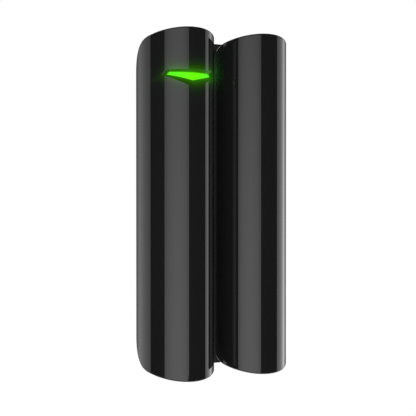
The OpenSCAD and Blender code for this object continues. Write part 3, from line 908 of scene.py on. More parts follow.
@dataclass(frozen=True)
class Board:
    """Circuit board with its tracks, its solder and the small parts on its front."""

    front_y: float = -11.5
    back_y: float = -10.5
    chip_z: float = 14.4
    chip_half_w: float = 2.5
    pin_pitch: float = 0.55
    pins: int = 8
    reed_x: float = 6.9
    reed_z: tuple[float, float] = (12.4, 25.6)
    terminal: Pair = (1.3, 18.2)
    antenna_legs: tuple[Pair, Pair] = ((-6.2, 10.7), (2.2, 10.7))
    track_w: float = 0.24
    track_t: float = 0.04
    crossing_t: float = 0.004
    pad_t: float = 0.045
    pad_edge: float = 0.015
    paired_tracks: tuple[tuple[Pair, ...], ...] = (
        ((6.9, 12.4), (6.9, 11.1), (4.6, 11.1), (4.6, 12.4)),
        ((3.6, 12.4), (3.0, 12.4)),
        ((4.0, 13.7), (3.0, 13.7)),
        ((4.0, 15.0), (3.0, 15.0)),
        ((4.6, 16.3), (5.4, 16.3), (5.4, 20.2), (4.4, 20.2)),
        ((1.3, 18.2), (2.6, 18.2), (2.6, 17.3), (1.65, 17.3)),
    )
    single_tracks: tuple[tuple[Pair, ...], ...] = (
        ((-6.9, 25.6), (-6.9, 27.0), (-4.9, 27.0), (-4.9, 30.6), (-3.0, 30.6)),
        ((6.9, 25.6), (6.9, 30.6), (3.0, 30.6)),
        ((0.0, 17.3), (0.0, 19.5)),
        ((0.8, 27.5), (0.8, 26.1)),
        ((2.0, 27.5), (2.0, 26.1)),
        ((3.2, 27.5), (3.2, 26.7), (5.8, 26.7), (5.8, 29.4), (0.0, 29.4), (0.0, 30.9)),
        ((-1.0, 28.6), (0.8, 28.6)),
        ((-2.6, 27.2), (-2.6, 26.1)),
        ((-6.2, 10.7), (-6.2, 10.2), (-7.4, 10.2), (-7.4, 21.8), (-4.6, 21.8)),
        ((2.2, 10.7), (3.4, 10.7), (3.4, 8.2), (-3.4, 8.2)),
        ((7.6, 9.0), (7.6, 24.2), (4.6, 24.2)),
    )

    def on_front(self, skin: Skin, spot: Pair, size: Pair, low: float, high: float, edge: float) -> None:
        """Adds a soft box on the board's front.

        Args:
            skin: The piece that it joins.
            spot: Its middle across and up the board.
            size: Its width and height.
            low: Its distance from the board.
            high: The distance of its far side from the board.
            edge: Width of its soft edges.
        """
        (x, z), (w, h) = spot, size
        near, far = self.front_y - low, self.front_y - high
        skin.block((x - w / 2, far, z - h / 2), (x + w / 2, near, z + h / 2), edge)

    def at_legs(self, skin: Skin, out: float, size: Pair, low: float, high: float, edge: float) -> None:
        """Adds a soft box at each of the processor's legs.

        Args:
            skin: The piece that they join.
            out: Their distance beyond the processor's side.
            size: Their length along the leg and their width.
            low: Their distance from the board.
            high: The distance of their far side from the board.
            edge: Width of their soft edges.
        """
        for side, k in product((-1, 1), range(self.pins)):
            step = (k - (self.pins - 1) / 2) * self.pin_pitch
            reach = side * (self.chip_half_w + out)
            self.on_front(skin, (reach, self.chip_z + step), size, low, high, edge)
            self.on_front(skin, (step, self.chip_z + reach), size[::-1], low, high, edge)

    def tracks(self) -> list[Sequence[Pair]]:
        """Returns the corners of every track, with the paired ones on both sides."""
        pairs = [[(side * x, z) for x, z in path] for path in self.paired_tracks for side in (-1, 1)]
        return [*pairs, *self.single_tracks]

    def joints(self) -> list[tuple[float, float, float]]:
        """Returns the place and the wire's radius of each soldered wire."""
        x, z = self.terminal
        wires = [(side * self.reed_x, level, 0.3) for side in (-1, 1) for level in self.reed_z]
        wires += [(side * x, z, 0.4) for side in (-1, 1)]
        return wires + [(*leg, 0.25) for leg in self.antenna_legs]

    def make_tracks(self) -> None:
        """Makes the raised tracks and their pads. Every other stretch is a little thicker."""
        skin = Skin()
        for path in self.tracks():
            for i, ((x0, z0), (x1, z1)) in enumerate(zip(path, path[1:])):
                size = (abs(x1 - x0) + self.track_w, abs(z1 - z0) + self.track_w)
                top = self.track_t + self.crossing_t * (i % 2)
                self.on_front(skin, ((x0 + x1) / 2, (z0 + z1) / 2), size, 0.0, top, self.pad_edge)
        skin.finish = 1
        for x, z, wire_r in self.joints():
            ring = [(wire_r + 0.55, 0.0), (wire_r + 0.52, self.pad_t), (0.0, self.pad_t)]
            skin.turned((x, self.front_y, z), (0, -1, 0), ring, 28)
        self.at_legs(skin, 0.45, (0.6, 0.3), 0.0, self.pad_t, self.pad_edge)
        skin.make("board_tracks", "detector", "board_green", TrackMask().build(), Metal(Plating.TIN).build())

    def make_solder(self) -> None:
        """Makes the solder cones on the front and the solder domes on the back."""
        skin = Skin()
        for x, z, wire_r in self.joints():
            cone = [(wire_r + 0.42, 0.04), (wire_r + 0.26, 0.12), (wire_r + 0.12, 0.28), (wire_r, 0.55)]
            skin.turned((x, self.front_y, z), (0, -1, 0), rounded(cone, 0.1), 28)
            if wire_r < 0.4:
                dome = [(0.55, 0.0), (0.5, 0.14), (0.34, 0.26), (0.16, 0.31), (0.0, 0.32)]
                skin.turned((x, self.back_y, z), (0, 1, 0), rounded(dome, 0.1), 28)
        skin.make("solder_joints", "detector", "tinned_steel", Metal(Plating.SOLDER, (1, 1, 1)).build())

    def make_processor(self) -> None:
        """Makes the processor: a moulded body on bent legs, with a mark at its first leg."""
        skin = Skin()
        width = self.chip_half_w * 2
        self.on_front(skin, (0.0, self.chip_z), (width, width), 0.12, 0.55, 0.1)
        self.on_front(skin, (0.0, self.chip_z), (width - 0.1, width - 0.1), 0.5, 1.0, 0.14)
        skin.finish = 2
        mark = [(0.3, 0.0), (0.27, 0.02), (0.0, 0.02)]
        skin.turned((-1.85, self.front_y - 0.99, self.chip_z + 1.85), (0, -1, 0), mark, 24)
        skin.finish = 1
        top, bend, foot = (0.12, 0.3, 0.44, 0.56), (0.26, 0.15, 0.1, 0.54), (0.35, 0.3, 0.02, 0.15)
        for out, length, low, high in (top, bend, foot):
            self.at_legs(skin, out, (length, 0.22), low, high, 0.03)
        piece = skin.make(
            "processor",
            "detector",
            "chip_black",
            GrainedPlastic(Plastic.CHIP_BLACK, 0.004).build(),
            Metal(Plating.TIN).build(),
            GrainedPlastic(Plastic.CHIP_MARK, 0.003).build(),
        )
        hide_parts("processor_chip")

    def make_small_parts(self) -> None:
        """Makes the resistors, capacitors and fuses, each with tinned ends."""
        skin = Skin()
        parts = [(side * 4.3, 12.4 + i * 1.3, 1.0, 0.5, 0.45, 2) for i in range(4) for side in (-1, 1)]
        parts += [(0.8 + i * 1.2, 28.0, 0.5, 1.0, 0.45, 0) for i in range(4)]
        parts += [(side * 2.4, 30.6, 1.6, 0.8, 0.55, 0) for side in (-1, 1)]
        for x, z, w, h, t, finish in parts:
            along = w > h
            end = max(w, h) * 0.22
            skin.finish = finish
            body = (w - 0.04, h - 0.05) if along else (w - 0.05, h - 0.04)
            self.on_front(skin, (x, z), body, 0.03, t - 0.03, 0.03)
            skin.finish = 1
            for side in (-1, 1):
                shift = side * (max(w, h) - end) / 2
                spot = (x + shift, z) if along else (x, z + shift)
                size = (end, h) if along else (w, end)
                self.on_front(skin, spot, size, 0.0, t, 0.05)
        piece = skin.make(
            "resistors_and_capacitors",
            "detector",
            "ceramic_tan",
            GrainedPlastic(Plastic.CERAMIC_TAN, 0.002).build(),
            Metal(Plating.SOLDER, (1, 1, 1)).build(),
            GrainedPlastic(Plastic.SWITCH_BLACK, 0.002).build(),
        )
        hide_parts("chip_parts")

    def make_antenna(self) -> None:
        """Makes the wound antenna, whose two legs run straight into the board."""
        x0, length, radius, wire_r, turns = -6.2, 8.4, 1.4, 0.25, 6.5
        centre_y, centre_z = self.front_y - 1.9, 9.3
        path: list[Triple] = [(x0, y, centre_z + radius) for y in spread(self.front_y, centre_y, 4)[:-1]]
        for t in spread(0.0, 1.0, round(turns * POINTS_PER_TURN)):
            angle = math.tau * turns * t
            y = centre_y - radius * math.sin(angle)
            path.append((x0 + length * t, y, centre_z + radius * math.cos(angle)))
        last = path[-1]
        path += [(last[0], y, last[2]) for y in spread(centre_y, self.front_y, 4)[1:]]
        skin = Skin()
        skin.tube(path, wire_r, 12)
        piece = skin.make("antenna", "detector", "gilt_brass", Metal(Plating.GILT).build())
        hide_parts("antenna_coil")

    def make(self) -> None:
        """Makes every piece on the board."""
        self.make_tracks()
        self.make_solder()
        self.make_processor()
        self.make_small_parts()
        self.make_antenna()


@dataclass(frozen=True)
class Coil:
    """Wound spring with a closed turn at each end."""

    name: str
    node: str
    slot: str
    base: Triple
    axis: Triple
    radii: Pair
    height: float
    turns: float
    wire_r: float
    closed_share: float = 0.16
    eased: float = 0.4

    def make(self) -> bpy.types.Object:
        """Makes the spring.

        Returns:
            The spring, which rides with the detector.
        """
        up = Vector(self.axis).normalized()
        out, side = square_to(up)
        path = []
        for t in spread(0.0, 1.0, round(self.turns * POINTS_PER_TURN)):
            rise = max(0.0, min(1.0, (t - self.closed_share) / (1 - 2 * self.closed_share)))
            rise = rise * rise * (3 - 2 * rise) * self.eased + rise * (1 - self.eased)
            angle = math.tau * self.turns * t
            radius = self.radii[0] + (self.radii[1] - self.radii[0]) * t
            radial = out * math.cos(angle) + side * math.sin(angle)
            path.append(tuple(Vector(self.base) + radial * radius + up * self.height * rise))
        skin = Skin()
        skin.tube(path, self.wire_r, 12)
        piece = skin.make(self.name, "detector", self.slot, Metal(Plating.NICKEL).build())
        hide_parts(self.node)
        return piece


@dataclass(frozen=True)
class SnapDome:
    """Thin sprung dome under the power button."""

    base: Triple = (0.0, -9.9, 28.2)
    radius: float = 1.65
    height: float = 0.7
    sheet: float = 0.1
    pressed: float = 0.3

    def make(self) -> None:
        """Makes the dome."""
        round_r = (self.radius**2 + self.height**2) / (2 * self.height)
        half = math.asin(self.radius / round_r)
        outer = [
            (round_r * math.sin(a), round_r * math.cos(a) - round_r + self.height)
            for a in spread(half, 0.0, 10)
        ]
        inner_r = round_r - self.sheet
        inner = [
            (inner_r * math.sin(a), inner_r * math.cos(a) - round_r + self.height)
            for a in spread(0.0, half, 10)
        ]
        skin = Skin()
        skin.turned(self.base, (0, 1, 0), [*outer, *inner, outer[0]], 48)
        piece = skin.make("snap_dome", "detector", "nickel", Metal(Plating.NICKEL).build())
        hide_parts("power_dome")
        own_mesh(piece)


@dataclass(frozen=True)
class FoamPad:
    """Foam strip that holds the magnet still."""

    crown: float = 0.14
    corner_r: float = 1.2
    pull: float = 0.35
    pull_power: float = 0.7
    crown_shares: tuple[float, ...] = (0.9, 0.75, 0.5, 0.25, 0.02)
    steps: int = 12
    side_steps: int = 10

    def make(self) -> None:
        """Makes the pad: a crowned strip whose edges pull in."""
        low, high = (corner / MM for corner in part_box("foam_pad"))
        centre, half = (low + high) / 2, (high - low) / 2
        skin = Skin()
        outline = []
        for sx, sz in ((1, 1), (-1, 1), (-1, -1), (1, -1)):
            start = math.atan2(sz, sx) - math.pi / 4
            for a in spread(start, start + math.pi / 2, self.steps):
                x = sx * (half.x - self.corner_r) + self.corner_r * math.cos(a)
                z = sz * (half.z - self.corner_r) + self.corner_r * math.sin(a)
                outline.append((x, z))
        rings = []
        for angle in spread(-90.0, 90.0, self.side_steps):
            across, along = math.cos(math.radians(angle)), math.sin(math.radians(angle))
            pull = self.pull * (1 - across**self.pull_power)
            y = along * (half.y - self.crown)
            ring = []
            for i, (x, z) in enumerate(outline):
                x0, z0 = outline[i - 1]
                x1, z1 = outline[(i + 1) % len(outline)]
                side = Vector((z1 - z0, 0.0, x0 - x1)).normalized()
                if side.x * x + side.z * z < 0:
                    side.negate()
                point = Vector((centre.x + x, centre.y + y, centre.z + z)) - side * pull
                ring.append((point, (side * across + Vector((0.0, along, 0.0))).normalized()))
            rings.append(ring)
        skin.grid(rings, closed=True)
        for way, ring in ((-1, rings[0]), (1, rings[-1])):
            rows = [ring]
            normal = Vector((0.0, float(way), 0.0))
            for share in self.crown_shares:
                rise = way * (self.crown * (1 - share**2))
                rows.append([])
                for p, _ in ring:
                    x, z = (centre[k] + (p[k] - centre[k]) * share for k in (0, 2))
                    rows[-1].append((Vector((x, p.y + rise, z)), normal))
            skin.grid(rows, closed=True)
        piece = skin.make("foam_strip", "magnet", "foam_grey", Foam().build())
        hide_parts("foam_pad")


# ---- Columns ----


@dataclass
class Column:
    """Outline that both columns share: a round front cut by a slope at each end."""

    centre_x: float
    radius: float
    front_y: float
    back_y: float
    half_h: float
    slope: float = math.radians(17.9)
    arc_r: float = 9.1
    edge_r: float = 0.3
    line_steps: int = 26
    arc_steps: int = 22
    axis_y: float = field(init=False)
    arc_y: float = field(init=False)
    arc_z: float = field(init=False)

    @classmethod
    def of(cls, node: str) -> Column:
        """Returns the column whose cover is a given solid."""
        low, high = (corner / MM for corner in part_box(node))
        return cls((low.x + high.x) / 2, (high.x - low.x) / 2, low.y, high.y, high.z)

    def __post_init__(self) -> None:
        """Works out the axis and the centre of the arc that rounds each end."""
        self.axis_y = self.front_y + self.radius
        self.arc_y = self.back_y - self.arc_r
        drop = self.arc_r + (self.arc_y - self.front_y) * math.sin(self.slope)
        self.arc_z = self.half_h - drop / math.cos(self.slope)

    @property
    def lift(self) -> float:
        """Height that the soft edge takes off the tip, given back to the slope."""
        turn = math.tan(self.slope) + 1 / math.cos(self.slope)
        return self.edge_r * (turn - 1)

    def spot(self, x: float, y: float, z: float) -> Vector:
        """Returns the point at a distance from the column's middle plane."""
        return Vector((self.centre_x + x, y, z))

    def half_width(self, y: float, radius: float) -> float:
        """Returns the half width of a round section at a depth."""
        return math.sqrt(max(0.0, radius**2 - (y - self.axis_y) ** 2))

    def end_line(self, inset: float, radius: float) -> list[tuple[float, float, float, float]]:
        """Follows the top of the side view from the front to the back edge.

        Args:
            inset: How far inside the outline the line runs.
            radius: Radius of the round front that the line starts on.

        Returns:
            Depth, height and the two parts of the outward normal, at each step.
        """
        span = self.arc_r - inset
        meet_y = self.arc_y + span * math.sin(self.slope)
        meet_angle = math.acos(max(-1.0, min(1.0, (self.axis_y - meet_y) / radius)))
        out = []
        for angle in spread(0.0, meet_angle, self.line_steps):
            y = self.axis_y - radius * math.cos(angle)
            drop = (y - self.front_y) * math.tan(self.slope) + inset / math.cos(self.slope)
            out.append((y, self.half_h - drop, math.sin(self.slope), math.cos(self.slope)))
        for angle in spread(math.pi / 2 - self.slope, 0.0, self.arc_steps)[1:]:
            y = self.arc_y + span * math.cos(angle)
            z = self.arc_z + span * math.sin(angle)
            out.append((y, z, math.cos(angle), math.sin(angle)))
        return out

    def on_round(self, angle: float, z: float) -> Corner:
        """Returns the corner on the round front at an angle and a height."""
        normal = Vector((math.sin(angle), -math.cos(angle), 0.0))
        return self.spot(0.0, self.axis_y, z) + normal * self.radius, normal


@dataclass(frozen=True)
class FiveSides:
    """Five-sided outline on a round surface: angles in degrees, and drops from the window's top."""

    corner_angle: float
    tip_angle: float
    top_drop: float
    tip_drop: float
    point_drop: float

    def corners(self, radius: float, top_z: float) -> list[Pair]:
        """Returns the flat corners, clockwise.

        Args:
            radius: Radius of the surface.
            top_z: Height of the window's top.

        Returns:
            The corners, seen from the front.
        """
        x0, x1 = (radius * math.sin(math.radians(a)) for a in (self.corner_angle, self.tip_angle))
        high, tip_z = top_z - self.top_drop, top_z - self.tip_drop
        return [(-x0, high), (x0, high), (x1, tip_z), (0.0, top_z - self.point_drop), (-x1, tip_z)]


@dataclass
class Window:
    """Five-sided lamp window with sloped walls, and the lens at its floor."""

    column: Column
    sink: float = 0.85
    top_z: float = 34.12
    mouth: FiveSides = FiveSides(41.0, 47.9, 0.0, 1.45, 4.6)
    lens_face: FiveSides = FiveSides(38.0, 42.2, 0.6, 1.34, 2.68)
    slot_depth: float = 0.75
    lens_gap: float = 0.04
    lens_edge: float = 0.12
    lens_back_r: float = 8.0
    lattice_x: tuple[float, float, int] = (-7.0, 7.0, 40)
    lattice_z: tuple[float, float, int] = (31.2, 33.8, 8)
    lattice_clear: float = 0.1
    stem_drop: float = 1.92
    stem: tuple[Pair, ...] = (
        (0.0, 0.0), (1.5, 0.0), (1.0, 1.4), (0.9, 2.4), (0.9, 6.0), (0.55, 6.2), (0.0, 6.2),
    )
    edge: float = 0.09
    edge_reach: float = 1.2
    edge_steps: int = 4
    steps: int = 16

    @property
    def floor_r(self) -> float:
        """Radius of the window's floor."""
        return self.column.radius - self.sink

    def outline(self) -> list[Pair]:
        """Returns the window's corners on the cover's surface, clockwise."""
        return self.mouth.corners(self.column.radius, self.top_z)

    def lens_outline(self) -> list[Pair]:
        """Returns the lens's corners on the window's floor, clockwise."""
        return self.lens_face.corners(self.floor_r, self.top_z)

    def at(self, x: float, z: float, radius: float) -> Corner:
        """Returns the corner on a round surface that lies straight behind a flat point."""
        depth = math.sqrt(radius**2 - x**2)
        normal = Vector((x, -depth, 0.0)) / radius
        return self.column.spot(x, self.column.axis_y - depth, z), normal

    def unrolled(self, points: Sequence[Pair]) -> list[Pair]:
        """Returns flat points as lengths round the cover's surface and heights."""
        r = self.column.radius
        return [(r * math.asin(x / r), z) for x, z in points]

    def hole(self) -> list[Pair]:
        """Returns the outer edge of the window's soft rim, unrolled."""
        return self.unrolled(around(grown(self.outline(), self.edge), self.steps))

    def glow(self) -> PaintedWindowGlow:
        """Returns the painted glow: green emission painted into the plastic round the lens."""
        return PaintedWindowGlow(tuple(self.unrolled(self.lens_outline())), self.column.radius)

    def carve(self, skin: Skin) -> None:
        """Adds the soft rim, the sloped walls and the slot that holds the lens.

        Args:
            skin: The cover's skin.
        """
        outer, sharp, inner = grown(self.outline(), self.edge), self.outline(), self.lens_outline()
        rim_r = self.column.radius
        loops = ((sides(outer), rim_r), (sides(sharp), rim_r), (sides(inner), self.floor_r))
        for number, (first, last) in enumerate(sides(sharp)):
            rows: list[list[Corner]] = []
            along = self.at(*last, rim_r)[0] - self.at(*first, rim_r)[0]
            for t in spread(0.0, 1.0, self.steps):
                spots = [self.at(*part_way(*loop[number], t), radius) for loop, radius in loops]
                (start, face_n), (turn, _), (floor, _) = spots
                wall_n = along.cross(floor - turn).normalized()
                if wall_n.y > 0:
                    wall_n.negate()
                into = turn + (floor - turn).normalized() * self.edge * self.edge_reach
                row = []
                for k in spread(0.0, 1.0, self.edge_steps):
                    point = start * (1 - k) ** 2 + turn * 2 * k * (1 - k) + into * k**2
                    row.append((point, (face_n * (1 - k) + wall_n * k).normalized()))
                row.append(((into + floor) / 2, wall_n))
                row.append((floor, wall_n))
                rows.append(row)
            self.slot(skin, [row[-1][0] for row in rows], sides(inner)[number])
            skin.grid(rows)

    def slot(self, skin: Skin, rim: list[Vector], side: tuple[Pair, Pair]) -> None:
        """Adds the short straight wall behind one side of the lens's edge.

        Args:
            skin: The cover's skin.
            rim: The points along the wall's front edge.
            side: The two corners that the side joins.
        """
        (x0, z0), (x1, z1) = side
        inward = Vector((z1 - z0, 0.0, x0 - x1)).normalized()
        back = Vector((0.0, self.slot_depth, 0.0))
        skin.grid([[(p, inward) for p in rim], [(p + back, inward) for p in rim]])

    def lens(self, material: bpy.types.Material) -> bpy.types.Object:
        """Makes the lens with its rounded edge and its light guide.

        Args:
            material: The lens's finish.

        Returns:
            The lens.
        """
        skin = Skin()
        rim = around(grown(self.lens_outline(), -self.lens_gap - self.lens_edge), self.steps)
        outer = around(grown(self.lens_outline(), -self.lens_gap), self.steps)
        lattice = [
            spot
            for spot in product(spread(*self.lattice_x), spread(*self.lattice_z))
            if is_inside(spot, rim) and gap_to(spot, rim) > self.lattice_clear
        ]
        for radius, way in ((self.floor_r, 1), (self.lens_back_r, -1)):

            def face(x: float, z: float, radius: float = radius, way: int = way) -> Corner:
                """Returns the corner on the lens's front or back."""
                point, normal = self.at(x, z, radius)
                return point, normal * way

            skin.fill(rim, [], lattice, face)
        rings = []
        for angle in spread(0.0, math.pi / 2, self.edge_steps):
            drop = self.lens_edge * (1 - math.cos(angle))
            ring = []
            for start, end in zip(rim, outer):
                point, face_n = self.at(*part_way(start, end, math.sin(angle)), self.floor_r - drop)
                side_n = Vector((end[0] - start[0], 0.0, end[1] - start[1])).normalized()
                ring.append((point, face_n * math.cos(angle) + side_n * math.sin(angle)))
            rings.append(ring)
        back_rim = [self.at(*spot, self.lens_back_r)[0] for spot in rim]
        rings.append([(point, normal) for point, (_, normal) in zip(back_rim, rings[-1])])
        skin.grid(rings, closed=True)
        self.light_guide(skin)
        return skin.make("lens", "cover", "lamp_green", material)

    def light_guide(self, skin: Skin) -> None:
        """Adds the stem behind the lens, which reaches back to the lamp."""
        c = self.column
        _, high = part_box("lamp_lens")
        base_y = c.axis_y - self.lens_back_r - 0.1
        stretch = (high.y / MM - base_y) / self.stem[-1][1]
        profile = [(r, h * stretch) for r, h in self.stem]
        skin.turned((c.centre_x, base_y, self.top_z - self.stem_drop), (0, 1, 0), rounded(profile, 0.3), 32)


@dataclass
class Cover:
    """Hollow front cover of a column, with soft edges all round."""

    column: Column
    name: str
    node: str
    body: str
    window: Window | None = None
    wall: float = 1.2
    mouth_half_w: float = 8.75
    mouth_half_h: float = 32.95
    rows_high: int = 26
    across_steps: int = 12
    patch_rows: int = 3
    patch_step: float = 1.1
    patch_clear: float = 0.18
    end_steps: int = 3
    edge_steps: int = 6

    def levels(self) -> list[float]:
        """Returns the heights of the straight back edge's steps."""
        return spread(-self.column.arc_z, self.column.arc_z, self.rows_high)

    def ring(self) -> list[tuple[float, float, float, Vector]]:
        """Follows the centre of the rolling edge round one half of the top.

        Returns:
            Angle round the column, half width, and the centre with the end's normal.
        """
        c = self.column
        inner_r = c.radius - c.edge_r
        out = []
        for y, z, ny, nz in c.end_line(c.edge_r, inner_r):
            x = c.half_width(y, inner_r)
            share = (z - c.arc_z) / (c.half_h - c.arc_z)
            height = z + c.lift * max(0.0, share) ** 0.5
            out.append((math.atan2(x, c.axis_y - y), x, y, Vector((height, ny, nz))))
        return out

    def front(self, skin: Skin) -> None:
        """Adds the round front between the two soft ends.

        Args:
            skin: The cover's skin.
        """
        c = self.column
        ring = self.ring()
        columns = [(-a, h.x) for a, _, _, h in reversed(ring)] + [(a, h.x) for a, _, _, h in ring[1:]]
        levels = self.levels()
        patch = self.rows_high - self.patch_rows
        rows = []
        for angle, top in columns:
            low = spread(-top, levels[0], self.end_steps)[:-1]
            high = spread(levels[-1], top, self.end_steps)[1:]
            heights = levels[: patch + 1] if self.window else levels + high
            rows.append([c.on_round(angle, z) for z in low + heights])
        skin.grid(rows)
        if self.window:
            self.front_patch(skin, columns, levels[patch:])

    def front_patch(self, skin: Skin, columns: list[Pair], levels: list[float]) -> None:
        """Adds the upper part of the round front, with the window's hole in it.

        Args:
            skin: The cover's skin.
            columns: Angle and top height of each upright line.
            levels: Heights of the back edge's steps, from the patch's bottom up.
        """
        c = self.column
        r = c.radius
        floor_z = levels[0]
        rim = [(r * a, floor_z) for a, _ in columns]
        rim += [(r * columns[-1][0], z) for z in levels[1:-1]]
        rim += [(r * a, top) for a, top in reversed(columns)]
        rim += [(r * columns[0][0], z) for z in reversed(levels[1:-1])]
        hole = self.window.hole()
        inner = []
        for angle, top in columns[1:-1]:
            for z in spread(floor_z, top, max(2, round((top - floor_z) / self.patch_step)))[1:-1]:
                spot = (r * angle, z)
                clear = min(gap_to(spot, hole), gap_to(spot, rim)) > self.patch_clear
                if clear and not is_inside(spot, hole):
                    inner.append(spot)
        skin.fill(rim, hole, inner, lambda u, z: c.on_round(u / r, z))
        self.window.carve(skin)

    def edges(self, skin: Skin) -> None:
        """Adds the soft edge between the round front and the ends and back.

        Args:
            skin: The cover's skin.
        """
        c = self.column
        ring = self.ring()
        path = [(x, y, h.x, h.y, h.z) for _, x, y, h in ring]
        _, last_x, last_y, _ = ring[-1]
        path += [(last_x, last_y, z, 1.0, 0.0) for z in reversed(self.levels()[1:-1])]
        path += [(x, y, -h.x, h.y, -h.z) for _, x, y, h in reversed(ring)]
        for side in (-1, 1):
            rows = []
            for x, y, z, ny, nz in path:
                centre = c.spot(side * x, y, z)
                outward = Vector((side * x, y - c.axis_y, 0.0)).normalized()
                end = Vector((0.0, ny, nz))
                normals = [outward.slerp(end, k) for k in spread(0.0, 1.0, self.edge_steps)]
                rows.append([(centre + normal * c.edge_r, normal) for normal in normals])
            skin.grid(rows)

    def ends(self, skin: Skin) -> None:
        """Adds the sloped ends and the flat rim at the back.

        Args:
            skin: The cover's skin.
        """
        c = self.column
        shares = spread(-1.0, 1.0, self.across_steps)
        back = Vector((0.0, 1.0, 0.0))
        for way in (-1, 1):
            rows = []
            for _, x, y, h in self.ring():
                normal = Vector((0.0, h.y, h.z * way))
                rows.append([(c.spot(x * s, y, h.x * way) + normal * c.edge_r, normal) for s in shares])
            skin.grid(rows)
            mouth_z = way * self.mouth_half_h
            inner = [(c.spot(s * self.mouth_half_w, c.back_y, mouth_z), back) for s in shares]
            skin.grid([[(point, back) for point, _ in rows[-1]], inner])
        _, rim_x, _, _ = self.ring()[-1]
        for side in (-1, 1):
            rows = []
            for level, mouth in zip(self.levels(), self.mouth_levels()):
                ends = ((rim_x, level), (self.mouth_half_w, mouth))
                rows.append([(c.spot(side * x, c.back_y, z), back) for x, z in ends])
            skin.grid(rows)

    def mouth_levels(self) -> list[float]:
        """Returns the heights of the mouth's steps."""
        return spread(-self.mouth_half_h, self.mouth_half_h, self.rows_high)

    def hollow(self, skin: Skin) -> None:
        """Adds the inside: straight walls at the mouth, then the round hollow.

        Args:
            skin: The cover's skin.
        """
        c = self.column
        inner_r = c.radius - self.wall
        ledge_y = c.back_y - self.wall
        path = [
            (self.mouth_half_w, c.back_y, self.mouth_half_h, 0.0, 1.0),
            (self.mouth_half_w, ledge_y, self.mouth_half_h, 0.0, 1.0),
        ]
        for y, z, ny, nz in reversed(c.end_line(self.wall, inner_r)):
            x = c.half_width(y, inner_r)
            if y > c.axis_y:
                x = max(x, self.mouth_half_w)
            path.append((x, y, z, ny, nz))
        levels = self.mouth_levels()
        shares = spread(-1.0, 1.0, self.across_steps)
        for side in (-1, 1):
            rows = []
            for x, y, z, _, _ in path:
                straight = y > c.axis_y and x <= self.mouth_half_w + SAME_WIDTH
                normal = Vector((-side, 0.0, 0.0))
                if not straight:
                    normal = Vector((-side * x, c.axis_y - y, 0.0)).normalized()
                rows.append([(c.spot(side * x, y, h), normal) for h in (-z, *levels, z)])
            skin.grid(rows)
        for way in (-1, 1):
            rows = []
            for x, y, z, ny, nz in path:
                normal = Vector((0.0, -ny, -nz * way))
                rows.append([(c.spot(x * s, y, z * way), normal) for s in shares])
            skin.grid(rows[:2])
            ledge = Vector((0.0, 1.0, 0.0))
            skin.grid([[(p, ledge) for p, _ in rows[1]], [(p, ledge) for p, _ in rows[2]]])
            skin.grid(rows[2:])

    def make(self, material: bpy.types.Material) -> bpy.types.Object:
        """Makes the cover.

        Args:
            material: The cover's finish.

        Returns:
            The cover, which stands for its solid.
        """
        skin = Skin()
        self.front(skin)
        self.edges(skin)
        self.ends(skin)
        self.hollow(skin)
        piece = skin.make(self.name, self.body, "gloss_black", material)
        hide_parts(self.node)
        return piece


def dull_light(name: str, shape: str, watts: float) -> bpy.types.Object:
    """Adds an area light that only dull surfaces answer to.

    Args:
        name: The light's name.
        shape: The shape of its area.
        watts: Its power.

    Returns:
        The light, whose size and place are still to be set.
    """
    data = bpy.data.lights.new(name, "AREA")
    data.shape = shape
    data.energy = watts
    light = placed(name, data)
    light.visible_camera = False
    light.visible_glossy = False
    return light


@dataclass(frozen=True)
class SideGlow:
    """Green lamp light that leaves the detector's side towards the magnet column."""

    column: Column
    gap: float = 0.1
    depth: float = -9.6
    height: float = 34.9
    size: Pair = (4.6, 4.4)
    colour: Triple = (0.05, 1.0, 0.0)
    watts: float = 0.00078

    def make(self, cover: bpy.types.Object) -> None:
        """Adds the light.

        Args:
            cover: The cover that it moves with.
        """
        light = dull_light("side_glow", "ELLIPSE", self.watts)
        light.data.size, light.data.size_y = (length * MM for length in self.size)
        light.data.color = self.colour
        light.rotation_euler = (0.0, -math.pi / 2, 0.0)
        light.location = [c * MM for c in (self.column.radius + self.gap, self.depth, self.height)]
        light.parent = cover


# ---- Studio ----


def stage_piece(mesh: bpy.types.Mesh, material: bpy.types.Material, casts: bool) -> bpy.types.Object:
    """Stands a mesh in the studio, where only the object's gloss shows it.

    Args:
        mesh: The mesh.
        material: Its material.
        casts: Whether it also lights dull surfaces.

    Returns:
        The new object.
    """
    piece = placed(mesh.name, mesh)
    mesh.materials.append(material)
    piece.visible_camera = False
    piece.visible_transmission = False
    piece.visible_diffuse = casts
    piece.visible_shadow = False
    return piece


def stage_skin(skin: Skin, name: str, level: float) -> None:
    """Stands a skin in the studio with an even brightness.

    Args:
        skin: The skin.
        name: The name of its mesh and its material.
        level: Its brightness.
    """
    shader = Shader(name)
    shader.show(shader.add("ShaderNodeEmission", Strength=level))
    stage_piece(skin.mesh(name), shader.material, casts=False)


def mixed(
    links: bpy.types.NodeLinks, mix: bpy.types.Node, *sockets: bpy.types.NodeSocket
) -> bpy.types.Node:
    """Joins a share, a first shader and a second shader to a mixing node.

    Args:
        links: The links of the node's tree.
        mix: The mixing node.
        *sockets: The share and the two shaders.

    Returns:
        The mixing node.
    """
    for i, socket in enumerate(sockets):
        links.new(socket, mix.inputs[i])
    return mix


